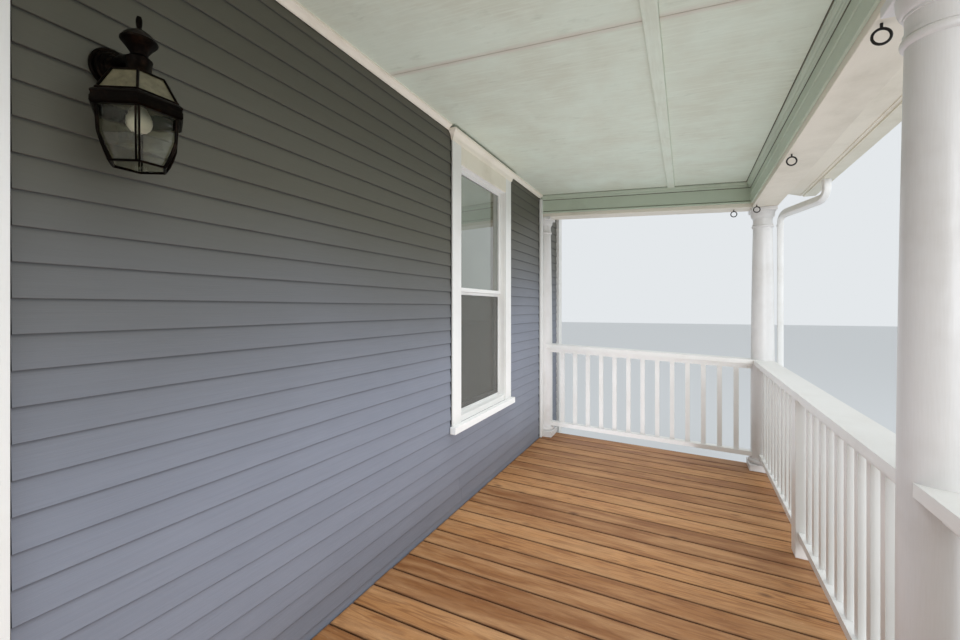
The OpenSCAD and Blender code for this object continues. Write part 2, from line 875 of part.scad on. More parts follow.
// A panel that runs out from the wall falls with the deck
module end_railing() {
  clear = porch_depth - 2 * rail_r;
  count = baluster_count(clear);
  pitch = (clear + baluster_w) / (count + 1);
  difference() {
    union() {
      falling_bar(corner_x - subrail_w / 2, corner_x + subrail_w / 2, 0, porch_depth,
        deck_height + cap_z, subrail_h);
      falling_bar(corner_x - foot_rail_w / 2, corner_x + foot_rail_w / 2, 0, porch_depth,
        deck_height + foot_gap + foot_rail_h, foot_rail_h);
    }
    shaft_at(corner_x, porch_depth);
    shaft_at(corner_x, 0);
  }
  for (i = [1 : count]) let (d = rail_r + i * pitch - baluster_w)
    along_x(corner_x - baluster_w / 2, corner_x + baluster_w / 2, [
      [d, deck_z(d) + baluster_z], [d + baluster_w, deck_z(d + baluster_w) + baluster_z],
      [d + baluster_w, deck_z(d + baluster_w) + baluster_top], [d, deck_z(d) + baluster_top]
    ]);
}

module end_railings() {
  color(white) placed() both_sides() end_railing();
}

newel_x = step_width / 2 + newel_w / 2;

// The short railings between the inner columns and the newel posts
module step_railings() {
  color(white) placed() both_sides() {
    difference() {
      front_rails(newel_x + newel_w / 2, half_centre);
      shaft_at(half_centre, porch_depth);
    }
    front_panel(newel_x + newel_w / 2, half_centre - rail_r);
  }
}

// The caps lap a little way around the shafts that they meet
lap = shaft_r(cap_z) * 0.45;

module front_cap(x0, x1) {
  block(x0, x1, porch_depth - cap_w / 2, porch_depth + cap_w / 2, column_z + cap_z, column_z + rail_height);
}

module rail_caps() {
  color(white) placed() both_sides() {
    difference() {
      front_cap(half_centre + lap, corner_x - lap);
      shaft_at(half_centre, porch_depth);
      shaft_at(corner_x, porch_depth);
    }
    difference() {
      front_cap(newel_x + newel_w / 2, half_centre - lap);
      shaft_at(half_centre, porch_depth);
    }
    difference() {
      falling_bar(corner_x - cap_w / 2, corner_x + cap_w / 2, lap, porch_depth - lap,
        deck_height + rail_height, cap_t);
      shaft_at(corner_x, porch_depth);
      shaft_at(corner_x, 0);
    }
  }
}

// A square post from the sloping deck up to a level top
module post(x, w, top) {
  d0 = porch_depth - w / 2;
  d1 = porch_depth + w / 2;
  along_x(x - w / 2, x + w / 2, [[d0, deck_z(d0)], [d1, deck_z(d1)], [d1, top], [d0, top]]);
}

newel_cap_h = 30;
newel_cap_out = 14;

// Posts in the middle of the front railings, and taller capped posts beside the steps
module railing_posts() {
  top = column_z + newel_h - newel_cap_h;
  half = newel_w / 2 + newel_cap_out;
  color(white) placed() both_sides() {
    post(mid_post_x, mid_post_w, column_z + cap_z);
    post(newel_x, newel_w, top);
    block(newel_x - half, newel_x + half, porch_depth - half, porch_depth + half,
      top, top + newel_cap_h);
  }
}

// Beams and ceiling

module front_beam() {
  color(cream) placed()
    block(-beam_end_x, beam_end_x, beam_in + lining_t, beam_front, beam_z, beam_top);
}

module end_beams() {
  color(cream) placed() both_sides()
    along_x(room_x + lining_t, beam_end_x, [
      [0, beam_under(0)], [beam_in + lining_t, beam_under(beam_in + lining_t)],
      [beam_in + lining_t, beam_top + slope * (porch_depth - beam_in - lining_t)],
      [0, beam_top + slope * porch_depth]
    ]);
}

// Boards on the inner faces of the beams, painted like the ceiling
lining_up = 32;

module beam_lining() {
  color(ceiling_green) placed() {
    along_x(-room_x, room_x, [
      [beam_in, beam_z + lining_up], [beam_in + lining_t, beam_z + lining_up],
      [beam_in + lining_t, ceiling_z(beam_in + lining_t)], [beam_in, ceiling_z(beam_in)]
    ]);
    both_sides() along_x(room_x, room_x + lining_t, [
      [0, beam_under(0) + lining_up], [beam_in + lining_t, beam_under(beam_in + lining_t) + lining_up],
      [beam_in + lining_t, ceiling_z(beam_in + lining_t)], [0, ceiling_z(0)]
    ]);
  }
}

// The crown runs along the top of the wall between the headers' mouldings
module crown_run(x0, x1) {
  along_x(x0, x1, [
    [0, ceiling_z(0) - crown_h], [crown_d * 0.4, ceiling_z(0) - crown_h],
    [crown_d, ceiling_z(crown_d) - crown_h * 0.35], [crown_d, ceiling_z(crown_d)],
    [0, ceiling_z(0)]
  ]);
}

module crown_moulding() {
  window_edge = window_inner + casing_w + header_cap_d;
  door_edge = door_inner + casing_w + header_cap_d;
  crown_run(door_edge, window_x - window_edge);
  crown_run(window_x + window_edge, room_x - bed_d);
}

// A stepped moulding lies where the beams meet the ceiling
module bed_moulding() {
  step_h = bed_h * 0.55;
  step_d = bed_d * 0.45;
  along_x(-room_x, room_x, [
    [beam_in, ceiling_z(beam_in)], [beam_in, ceiling_z(beam_in) - bed_h],
    [beam_in - step_d, ceiling_z(beam_in) - bed_h], [beam_in - step_d, ceiling_z(beam_in) - step_h],
    [beam_in - bed_d, ceiling_z(beam_in) - step_h], [beam_in - bed_d, ceiling_z(beam_in - bed_d)]
  ]);
  both_sides() {
    falling_bar(room_x - step_d, room_x, 0, beam_in - bed_d, ceiling_wall_z, bed_h);
    falling_bar(room_x - bed_d, room_x - step_d, 0, beam_in - bed_d, ceiling_wall_z, step_h);
  }
}

module ceiling_mouldings() {
  color(ceiling_green) placed() {
    both_sides() crown_moulding();
    bed_moulding();
  }
}

// A batten covers the long seam between the ceiling panels
module ceiling_panels() {
  color(ceiling_green) placed() {
    falling_bar(-room_x - lining_t, room_x + lining_t, 0, beam_in + lining_t,
      ceiling_wall_z + panel_t, panel_t);
    falling_bar(-room_x + bed_d, room_x - bed_d, panel_w - batten_w / 2, panel_w + batten_w / 2,
      ceiling_wall_z, batten_t);
  }
}

rafter_pitch = 2 * (beam_end_x - rafter_w / 2) / rafter_bays;
joist_side = rafter_w;
ceiling_joist_h = 76;
rafter_lines = [for (i = [0 : rafter_bays]) -beam_end_x + rafter_w / 2 + i * rafter_pitch];

// The ceiling hangs from joists that lie beside the rafters
module ceiling_joists() {
  color(timber) placed() for (i = [1 : rafter_bays - 1]) {
    x = rafter_lines[i] + joist_side;
    falling_bar(x - joist_w / 2, x + joist_w / 2, 0, beam_in + lining_t,
      ceiling_wall_z + panel_t + ceiling_joist_h, ceiling_joist_h);
  }
}

// The roof

module rafter(x) {
  tail = fascia_d - fascia_t;
  along_x(x - rafter_w / 2, x + rafter_w / 2, [
    [0, rafter_under(0)], [beam_front - seat, beam_top], [beam_front, beam_top],
    [beam_front, max(rafter_under(beam_front), soffit_z + soffit_t)],
    [tail, max(rafter_under(tail), soffit_z + soffit_t)], [tail, rafter_over(tail)],
    [0, rafter_over(0)]
  ]);
}

module roof_rafters() {
  color(timber) placed() for (x = rafter_lines) rafter(x);
}

// Boarding and covering lie on the rafters and reach a little past the fascia
module roof_layer(under, over, reach) {
  d = fascia_d + reach;
  along_x(-roof_end_x, roof_end_x, [
    [0, rafter_over(0) + under], [d, rafter_over(d) + under],
    [d, rafter_over(d) + over], [0, rafter_over(0) + over]
  ]);
}

module roof_boarding() {
  color(timber) placed() roof_layer(0, sheathing_v, drip);
}

module roof_covering() {
  color("#4d4a48") placed() roof_layer(sheathing_v, sheathing_v + shingle_v, 2 * drip);
}

module eave_soffit() {
  color(cream) placed()
    block(-beam_end_x, beam_end_x, beam_front, fascia_d - fascia_t, soffit_z, soffit_z + soffit_t);
}

module fascia_boards() {
  color(cream) placed() along_x(-roof_end_x, roof_end_x, [
    [fascia_d - fascia_t, soffit_z - 6], [fascia_d, soffit_z - 6],
    [fascia_d, rafter_over(fascia_d)], [fascia_d - fascia_t, rafter_over(fascia_d - fascia_t)]
  ]);
}

// A boxed rake closes the roof's edge at each end, from the gable's face to the roof's edge
module rake_boards() {
  low = fascia_d - fascia_t;
  color(cream) placed() both_sides() along_x(beam_end_x, roof_end_x, [
    [0, rafter_over(0) - rake_v], [low, rafter_over(low) - rake_v],
    [low, rafter_over(low)], [0, rafter_over(0)]
  ]);
}

gable_t = 18;

// The triangle between each end beam and the roof, on the outer face of the end rafter
module end_gables() {
  x1 = beam_end_x - rafter_w;
  color(siding_blue) placed() both_sides() along_x(x1 - gable_t, x1, [
    [0, beam_top + slope * porch_depth], [beam_in, beam_top + slope * (porch_depth - beam_in)],
    [beam_in, rafter_over(beam_in)], [0, rafter_over(0)]
  ]);
}

// Gutter and downspouts

gutter_top = rafter_over(fascia_d + drip) - 6;

module gutter() {
  z0 = gutter_top - gutter_h;
  w = gutter_w;
  t = gutter_t;
  color(white) placed() difference() {
    along_x(-roof_end_x, roof_end_x, [
      [fascia_d, gutter_top], [fascia_d, z0], [fascia_d + w * 0.78, z0],
      [fascia_d + w * 0.84, z0 + gutter_h * 0.35], [fascia_d + w * 0.95, z0 + gutter_h * 0.6],
      [fascia_d + w, z0 + gutter_h * 0.75], [fascia_d + w, gutter_top]
    ]);
    along_x(-roof_end_x + t, roof_end_x - t, [
      [fascia_d + t, gutter_top + 1], [fascia_d + t, z0 + t], [fascia_d + w * 0.78 - t, z0 + t],
      [fascia_d + w * 0.84 - t, z0 + gutter_h * 0.35 + t],
      [fascia_d + w * 0.95 - t, z0 + gutter_h * 0.6 + t],
      [fascia_d + w - t, z0 + gutter_h * 0.75 + t], [fascia_d + w - t, gutter_top + 1]
    ]);
  }
}

// Each downspout leaves the gutter, slants back to the corner and runs down to the ground
spout_x = corner_x + 64;
spout_c = deck_d + spout_d / 2 + 1;
outlet_x = corner_x - outlet_in;
outlet_d = fascia_d + gutter_w * 0.34;
outlet_drop = 160;
spout_run_h = 56;
elbow_z = beam_z - abacus_h - spout_d;

module spout_section(x, d, z, h) {
  block(x - spout_w / 2, x + spout_w / 2, d - spout_d / 2, d + spout_d / 2, z, z + h);
}

module downspouts() {
  gutter_z = gutter_top - gutter_h;
  kick = 110;
  color(white) placed() both_sides() {
    spout_section(outlet_x, outlet_d, gutter_z - outlet_drop, outlet_drop);
    hull() {
      spout_section(outlet_x, outlet_d, gutter_z - outlet_drop, spout_run_h);
      spout_section(spout_x, spout_c, elbow_z, spout_run_h);
    }
    spout_section(spout_x, spout_c, spout_end + spout_d,
      elbow_z + spout_run_h / 2 - spout_end - spout_d);
    hull() {
      spout_section(spout_x, spout_c, spout_end + spout_d, 1);
      translate([0, -kick, 0]) spout_section(spout_x, spout_c, spout_end, 1);
    }
  }
}

// Wall lanterns with a round plate, an arm, and a six-sided cage with sloping panes over it
neck_drop = 46;

// The turned top, from the neck up to the finial, around the arm's end
module lantern_top() {
  rotate_extrude() polygon([
    [0, -neck_drop], [26, -neck_drop], [26, -neck_drop + 8], [24, 4], [20, 12], [18, 14],
    [36, 42], [38, 45], [36, 50], [12, 68], [6, 74], [6, 80], [8, 94], [6, 107], [0, 110]
  ]);
}

module lantern(x) {
  band_top = -neck_drop - lantern_roof_h;
  cage_top = band_top - band_h;
  knee = cage_h * 0.47;
  translate([x, 0, deck_height + lantern_height]) {
    rotate([90, 0, 0]) cylinder(h = 12, d = wall_plate_d);
    rotate([90, 0, 0]) cylinder(h = 22, d = wall_plate_d * 0.74);
    rotate([90, 0, 0]) cylinder(h = lantern_out, d = arm_d);
    translate([0, -lantern_out, 0]) {
      lantern_top();
      translate([0, 0, band_top])
        cylinder(h = lantern_roof_h, d1 = cage_w, d2 = lantern_roof_w, $fn = 6);
      translate([0, 0, cage_top]) cylinder(h = band_h, d = lantern_w, $fn = 6);
      translate([0, 0, cage_top - knee])
        cylinder(h = knee, d1 = cage_w - 7, d2 = cage_w, $fn = 6);
      translate([0, 0, cage_top - cage_h])
        cylinder(h = cage_h - knee, d1 = cage_foot_w, d2 = cage_w - 7, $fn = 6);
    }
  }
}

module wall_lanterns() {
  color(bronze) placed() both_sides() lantern(lantern_x);
}

// Ring hooks screwed into the undersides of the beams

hook_shank = 16;

module ring_hook(x, d, top) {
  translate([x, -d, top]) {
    translate([0, 0, -hook_shank]) cylinder(h = hook_shank, d = hook_wire, $fn = 16);
    translate([0, 0, -hook_shank - hook_d / 2]) rotate([90, 0, 90])
      rotate_extrude($fn = 32) translate([hook_d / 2, 0]) circle(d = hook_wire, $fn = 16);
  }
}

module ring_hooks() {
  end_d = porch_depth - end_hook_back;
  color("#1c1a19") placed() both_sides() {
    for (x = [half_centre + hook_inset, mid_post_x - mid_hook_in, corner_x - hook_inset])
      ring_hook(x, porch_depth - hook_back, beam_z);
    ring_hook(corner_x, end_d, beam_under(end_d));
  }
}

foundation_wall();
house_wall();
wall_siding();
corner_boards();
window_frames();
window_sills();
window_sashes();
window_glass();
door_frame();
front_door();
door_knob();
casings();
deck_floor();
deck_joists();
deck_girders();
deck_apron();
deck_skirting();
piers();
step_stringers();
step_risers();
step_treads();
porch_columns();
wall_columns();
front_railings();
end_railings();
step_railings();
rail_caps();
railing_posts();
front_beam();
end_beams();
beam_lining();
ceiling_panels();
ceiling_mouldings();
ceiling_joists();
roof_rafters();
roof_boarding();
roof_covering();
eave_soffit();
fascia_boards();
rake_boards();
end_gables();
gutter();
downspouts();
wall_lanterns();
ring_hooks();
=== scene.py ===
"""The looks of a front porch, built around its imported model.

Lengths are in metres. X runs along the facade, Y points into the house and Z is up. "Out" is the
distance in front of the wall's face. The deck, the end rails and the ceiling fall away from it.
"""

import math
import random
from collections import namedtuple

import bmesh
import bpy
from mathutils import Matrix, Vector, noise


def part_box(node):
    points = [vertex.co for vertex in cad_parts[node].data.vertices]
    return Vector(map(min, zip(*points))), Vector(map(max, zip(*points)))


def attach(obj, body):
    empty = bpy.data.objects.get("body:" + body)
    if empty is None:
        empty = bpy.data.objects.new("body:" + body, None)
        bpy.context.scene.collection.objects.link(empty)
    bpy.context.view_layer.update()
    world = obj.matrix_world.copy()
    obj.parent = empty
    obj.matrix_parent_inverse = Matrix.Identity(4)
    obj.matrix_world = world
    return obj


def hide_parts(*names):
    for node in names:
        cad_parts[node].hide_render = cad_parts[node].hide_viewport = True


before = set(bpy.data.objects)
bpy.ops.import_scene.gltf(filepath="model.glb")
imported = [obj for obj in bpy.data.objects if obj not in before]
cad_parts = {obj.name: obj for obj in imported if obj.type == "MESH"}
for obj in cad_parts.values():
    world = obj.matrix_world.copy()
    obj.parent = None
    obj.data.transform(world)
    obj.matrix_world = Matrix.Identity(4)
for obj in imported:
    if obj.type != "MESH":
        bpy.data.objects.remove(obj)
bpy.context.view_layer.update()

MM = 0.001
MERGE = 0.01 * MM  # corners that close are one
FLAT_ANGLE = 0.4  # degrees between two faces that count as one
EASED_ANGLE = 32  # degrees between two faces, from which an edge is eased

# The camera, from the photograph's straight lines

LENS_MM = 16.72
CAMERA_PLACE = (0.109, -0.0825, 1.900)
CAMERA_TURN = 24.78  # degrees from the facade's direction towards the wall
HORIZON_SHIFT = -0.0124

view = bpy.data.cameras.new("porch_view")
view.lens = LENS_MM
view.sensor_width = 36
view.sensor_fit = "HORIZONTAL"
view.shift_y = HORIZON_SHIFT
view.clip_start = 0.02
view.clip_end = 400
camera = bpy.data.objects.new("porch_view", view)
camera.location = CAMERA_PLACE
camera.rotation_euler = (math.radians(90), 0, math.radians(CAMERA_TURN - 90))
bpy.context.scene.collection.objects.link(camera)
bpy.context.scene.camera = camera
bpy.context.scene.view_settings.view_transform = "Standard"

# Where things are, from the frame

siding_lo, siding_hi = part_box("wall_siding")
deck_lo, deck_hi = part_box("deck_floor")
mould_lo, mould_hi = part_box("ceiling_mouldings")

FACE_Y = siding_lo.y
FALL = 0.040  # of the deck and the ceiling, for each metre away from the wall
DECK_Z = deck_hi.z
CEILING_Z = mould_hi.z
ROOM_X = mould_hi.x
BEAM_IN = FACE_Y - mould_lo.y
BEAM_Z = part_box("front_beam")[0].z


def fall(verts):
    """Lowers points by the porch's fall, for a piece that was drawn level with the wall."""
    for vert in verts:
        vert.co.z -= FALL * (FACE_Y - vert.co.y)


def clean_copy(node):
    """A CAD node's shape with its corners joined and its flat faces whole."""
    shape = bmesh.new()
    shape.from_mesh(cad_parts[node].data)
    bmesh.ops.remove_doubles(shape, verts=shape.verts, dist=MERGE)
    bmesh.ops.dissolve_limit(
        shape, angle_limit=math.radians(FLAT_ANGLE), verts=shape.verts, edges=shape.edges
    )
    return shape


def separate(shape):
    """The points of each separate solid in a shape."""
    left = set(shape.verts)
    found = []
    for start in shape.verts:
        if start not in left:
            continue
        left.discard(start)
        group, border = [start], [start]
        while border:
            vert = border.pop()
            for edge in vert.link_edges:
                other = edge.other_vert(vert)
                if other in left:
                    left.discard(other)
                    group.append(other)
                    border.append(other)
        found.append(group)
    return found


def corners(verts):
    """The lowest and the highest corner of some points."""
    places = [v.co for v in verts]
    return (
        Vector([min(p[i] for p in places) for i in range(3)]),
        Vector([max(p[i] for p in places) for i in range(3)]),
    )


def solids(node):
    """The box of each separate solid of a CAD node, from left to right."""
    shape = clean_copy(node)
    boxes = [corners(group) for group in separate(shape)]
    shape.free()
    return sorted(boxes, key=lambda b: (round(b[0].x, 3), b[0].z))


# Making pieces

TIP = 0.1 * MM  # radius at which a turned solid closes
GRAIN_SHIFT = 40  # each solid's grain is moved by up to that much, so that no two look alike


def in_metres(pairs):
    """Pairs of millimetres as metres."""
    return [(a * MM, b * MM) for a, b in pairs]


def polygon(radius, sides):
    """The corners of an even-sided figure around a centre."""
    turns = [2 * math.pi * i / sides for i in range(sides)]
    return [(radius * math.cos(turn), radius * math.sin(turn)) for turn in turns]


def longest(low, high):
    """The axis along which a box is longest."""
    return max(range(3), key=lambda i: high[i] - low[i])


def lifted(pair, axis, at):
    """A place from its two other coordinates and its coordinate on an axis."""
    place = [*pair]
    place.insert(axis, at)
    return Vector(place)


def bent(path, reach, steps=7):
    """A path whose inner corners are bends that start that far before the corner."""
    points = [Vector(p) for p in path]
    made = [points[0]]
    for before, corner, after in zip(points, points[1:], points[2:]):
        start = corner + (before - corner).normalized() * reach
        end = corner + (after - corner).normalized() * reach
        for i in range(steps + 1):
            t = i / steps
            made.append(start * (1 - t) ** 2 + corner * 2 * t * (1 - t) + end * t**2)
    made.append(points[-1])
    return made


class Workpiece:
    """One piece in the making: solids in one mesh, each with its own tone and run of grain."""

    def __init__(self, seed, shape=None):
        self.shape = shape or bmesh.new()
        self.tone = self.shape.verts.layers.float.new("tone")
        self.soil = self.shape.verts.layers.float.new("soil")
        self.grain = self.shape.verts.layers.float_vector.new("grain")
        self.chance = random.Random(seed)

    def mark(self, verts, along):
        """Gives a solid a tone of its own, and grain that runs along an axis."""
        order = (along, (along + 1) % 3, (along + 2) % 3)
        shift = Vector([self.chance.uniform(0, GRAIN_SHIFT) for _ in range(3)])
        tone = self.chance.random()
        for vert in verts:
            vert[self.tone] = tone
            vert[self.grain] = Vector([vert.co[i] for i in order]) + shift
        return verts

    def loft(self, rings, along, closed=False, soils=()):
        """A solid through rings of places. Soils hold the share of dirt at each of them; on the
        clapboards it is partly painted shade.
        """
        made = [[self.shape.verts.new(place) for place in ring] for ring in rings]
        for ring, shares in zip(made, soils):
            for vert, share in zip(ring, shares):
                vert[self.soil] = share
        for ring, after in zip(made, made[1:] + made[:1] if closed else made[1:]):
            for i in range(len(ring)):
                j = (i + 1) % len(ring)
                self.shape.faces.new((ring[i], ring[j], after[j], after[i]))
        if not closed:
            self.shape.faces.new(made[0][::-1])
            self.shape.faces.new(made[-1])
        return self.mark([vert for ring in made for vert in ring], along)

    def prism(self, axis, outline, start, end):
        """An outline of (first, second) other coordinates, stretched along an axis."""
        rings = [[lifted(pair, axis, at) for pair in outline] for at in (start, end)]
        return self.loft(rings, axis)

    def block(self, low, high, along=None):
        """A box between two corners, with its grain along an axis or its longest side."""
        along = longest(low, high) if along is None else along
        (a, b), (c, d) = [(low[i], high[i]) for i in range(3) if i != along]
        return self.prism(along, [(a, c), (b, c), (b, d), (a, d)], low[along], high[along])

    def turned(self, outline, centre, facets, axis=2):
        """A solid turned on a lathe: an outline of (radius, height), from one end to the other."""
        rings = [
            [lifted(pair, axis, height) + Vector(centre) for pair in polygon(radius, facets)]
            for radius, height in outline
        ]
        return self.loft(rings, axis)

    def swept(self, path, section, closed=False, across=None):
        """A section of (across, other) distances, carried along a path of points."""
        points = [Vector(p) for p in path]
        count = len(points)
        rings = []
        for i, point in enumerate(points):
            before = points[i - 1] if closed or i else point
            after = points[(i + 1) % count] if closed or i < count - 1 else point
            ahead = (after - before).normalized()
            if across is None:
                across = ahead.orthogonal()
            across = (across - ahead * across.dot(ahead)).normalized()
            other = ahead.cross(across)
            rings.append([point + across * a + other * b for a, b in section])
        return self.loft(rings, 0, closed)

    def rod(self, path, radius, facets=12, closed=False):
        """A round rod that follows a path of points."""
        return self.swept(path, polygon(radius, facets), closed)

    def done(self, name, finish, slot, replaced=(), ease=0.0, segments=2, smooth=None):
        """Makes the piece, with its edges eased by a radius or its shading smooth."""
        bmesh.ops.recalc_face_normals(self.shape, faces=self.shape.faces)
        mesh = bpy.data.meshes.new(name)
        self.shape.to_mesh(mesh)
        self.shape.free()
        if "custom_normal" in mesh.attributes:
            mesh.attributes.remove(mesh.attributes["custom_normal"])
        mesh.materials.clear()
        mesh.materials.append(finish)
        for face in mesh.polygons:
            face.material_index = 0
            face.use_smooth = smooth is not None
        if smooth is not None:
            mesh.set_sharp_from_angle(angle=math.radians(smooth))
        made = bpy.data.objects.new(name, mesh)
        bpy.context.scene.collection.objects.link(made)
        if ease:
            easing = made.modifiers.new("eased_edges", "BEVEL")
            easing.width = ease
            easing.segments = segments
            easing.limit_method = "ANGLE"
            easing.angle_limit = math.radians(EASED_ANGLE)
        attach(made, "root")
        if replaced:
            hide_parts(*replaced)


# Making materials


def linear(code):
    """A hex sRGB colour as linear light."""
    parts = [int(code[i : i + 2], 16) / 255 for i in (1, 3, 5)]
    return tuple(
        c / 12.92 if c <= 0.04045 else ((c + 0.055) / 1.055) ** 2.4 for c in parts
    ) + (1.0,)


def add(tree, kind, inputs=None, **settings):
    """Adds a node with its settings, and fills its inputs with values or links."""
    made = tree.nodes.new(kind)
    for name, value in settings.items():
        setattr(made, name, value)
    for name, value in (inputs or {}).items():
        socket = made.inputs[name]
        if isinstance(value, bpy.types.NodeSocket):
            tree.links.new(value, socket)
        else:
            socket.default_value = linear(value) if isinstance(value, str) else value
    return made


class Finish:
    """A material in the making: one surface shader, and a colour that is laid on in coats."""

    def __init__(self, name, colour, **values):
        self.material = bpy.data.materials.new(name)
        self.material.use_nodes = True
        self.tree = self.material.node_tree
        self.tree.nodes.clear()
        sockets = {"Base Color": colour}
        for key, value in values.items():
            sockets["IOR" if key == "ior" else key.replace("_", " ").title()] = value
        self.surface = add(self.tree, "ShaderNodeBsdfPrincipled", sockets)
        add(self.tree, "ShaderNodeOutputMaterial", {"Surface": self.surface.outputs[0]})
        self.colour = colour

    def source(self, name):
        """The place on the porch, or what the mesh holds at each point: grain, tone or soil."""
        if name == "place":
            return add(self.tree, "ShaderNodeTexCoord").outputs["Object"]
        kind = "Vector" if name == "grain" else "Fac"
        return add(self.tree, "ShaderNodeAttribute", attribute_name=name).outputs[kind]

    def laid(self, name, along_mm, across_mm):
        """Coordinates of the grain or the place, in units of that length and width."""
        across = 1 / (across_mm * MM)
        scale = (1 / (along_mm * MM), across, across)
        inputs = {"Vector": self.source(name), "Scale": scale}
        return add(self.tree, "ShaderNodeMapping", inputs).outputs[0]

    def noise(self, name, along_mm, across_mm, detail=3.0, roughness=0.55, warp=0.0):
        """Noise along the grain or over the place, with features of that length and width."""
        inputs = {"Vector": self.laid(name, along_mm, across_mm), "Scale": 1.0}
        inputs |= {"Detail": detail, "Roughness": roughness, "Distortion": warp}
        return add(self.tree, "ShaderNodeTexNoise", inputs).outputs[0]

    def spread(self, value, low, high, to_low=0.0, to_high=1.0, kind="LINEAR"):
        """A value's part between two levels, spread over a new range."""
        inputs = {0: value, 1: low, 2: high, 3: to_low, 4: to_high}
        return add(self.tree, "ShaderNodeMapRange", inputs, interpolation_type=kind).outputs[0]

    def joined(self, operation, first, second=0.0):
        """Two values, added or multiplied."""
        inputs = {0: first, 1: second}
        return add(self.tree, "ShaderNodeMath", inputs, operation=operation).outputs[0]

    def coat(self, mask, low, high, share, colour):
        """A colour over the ones before, up to a share where a mask passes between two levels."""
        inputs = {0: self.spread(mask, low, high, 0.0, share), 6: self.colour, 7: colour}
        self.colour = add(self.tree, "ShaderNodeMix", inputs, data_type="RGBA").outputs[2]

    def sheen(self, mask, low, high, from_rough, to_rough, socket="Roughness"):
        """Roughness that follows a mask between two levels."""
        rough = self.spread(mask, low, high, from_rough, to_rough)
        self.tree.links.new(rough, self.surface.inputs[socket])

    def done(self, height=None, depth_mm=0.0):
        """The material, with relief of that depth where a height is given."""
        self.tree.links.new(self.colour, self.surface.inputs["Base Color"])
        if height is not None:
            inputs = {"Height": height, "Distance": depth_mm * MM, "Strength": 1.0}
            relief = add(self.tree, "ShaderNodeBump", inputs)
            self.tree.links.new(relief.outputs[0], self.surface.inputs["Normal"])
        return self.material


def painted_wood(name, paint, faded, dust, gloss, dust_share=0.35, brush_mm=2.0):
    """Oil or latex paint brushed on planed softwood.

    The brush leaves fine ridges along the board and a satin sheen that changes a little from
    stroke to stroke. Broad patches have faded or hold dust.
    """
    wood = Finish(name, paint, ior=1.48)
    ridges = wood.noise("grain", 70, brush_mm)
    patches = wood.noise("place", 420, 420, 4.0, 0.6)
    specks = wood.noise("place", 38, 38, 5.0, 0.65)
    wood.coat(wood.source("tone"), 0, 1, 0.45, faded)
    wood.coat(ridges, 0.35, 0.7, 0.3, faded)
    dusty = wood.spread(patches, 0.5, 0.75)
    grime = wood.joined("MULTIPLY", dusty, wood.spread(specks, 0.3, 0.6, 0.5, 1.0))
    wood.coat(grime, 0, 1, dust_share, dust)
    wood.sheen(ridges, 0.2, 0.8, gloss - 0.06, gloss + 0.1)
    return wood.done(ridges, 0.25)


def clapboard_paint():
    """Cedar clapboards under slate-blue latex paint, brushed on along the boards.

    The paint is flat to satin. Towards the ceiling the colour turns olive-dark: painted shade,
    which reaches less far down near the open ends. The laps are dark with dirt and painted shade.
    """
    wood = Finish("painted_wood_clapboard", "#7d828d", ior=1.48)
    ridges = wood.noise("grain", 85, 2.6)
    fibres = wood.noise("grain", 260, 7.0, 4.0, 0.6, 0.4)
    patches = wood.noise("place", 600, 300, 4.0, 0.6)
    shade_wobble = wood.noise("place", 1600, 700, 2.0)
    wood.coat(wood.source("tone"), 0, 1, 0.55, "#757a85")
    wood.coat(patches, 0.35, 0.7, 0.6, "#838893")
    wood.coat(fibres, 0.4, 0.75, 0.3, "#6c717c")
    # Painted shade: darker and olive towards the ceiling, starting higher near the open ends, with
    # a wobbly edge
    along, _, height = add(wood.tree, "ShaderNodeSeparateXYZ", {0: wood.source("place")}).outputs
    aside = wood.joined("ABSOLUTE", along)
    level = wood.joined("ADD", height, wood.spread(aside, 2.6, 4.0, 0.0, -0.3))
    edge = wood.joined("ADD", level, wood.spread(shade_wobble, 0.2, 0.8, -0.12, 0.12))
    wood.coat(wood.spread(edge, 1.3, 2.35, kind="SMOOTHSTEP"), 0, 1, 0.96, "#525043")
    # The laps darkened: dirt, and painted shade where each board's lower edge casts its shadow
    wood.coat(wood.source("soil"), 0, 1, 0.7, "#34373c")
    wood.sheen(ridges, 0.2, 0.8, 0.44, 0.62)
    return wood.done(wood.joined("ADD", ridges, fibres), 0.35)


def ceiling_paint():
    """Plywood sheets under old grey-green paint, put on with a wide brush across the porch.

    It has gone patchy: grey-green where it is sound, warm grey where it has thinned, and beige
    along the joints, where the filler shows.
    """
    sheet = Finish("painted_ceiling_sheet", "#d6e0d0", ior=1.48)
    strokes = sheet.noise("grain", 160, 14.0, 4.0, 0.6, 0.3)
    patches = sheet.noise("place", 330, 330, 5.0, 0.62, 0.2)
    stains = sheet.noise("grain", 120, 45.0, 4.0, 0.6)
    sheet.coat(patches, 0.35, 0.65, 1, "#cdd2c0")
    sheet.coat(strokes, 0.45, 0.7, 0.55, "#dfe8d9")
    sheet.coat(stains, 0.6, 0.8, 0.45, "#aeb7a4")
    thinned = sheet.spread(stains, 0.3, 0.6, 0.6, 1.0)
    sheet.coat(sheet.joined("MULTIPLY", sheet.source("soil"), thinned), 0, 1, 1, "#c9c2b4")
    sheet.sheen(strokes, 0.2, 0.8, 0.5, 0.7)
    return sheet.done(strokes, 0.4)


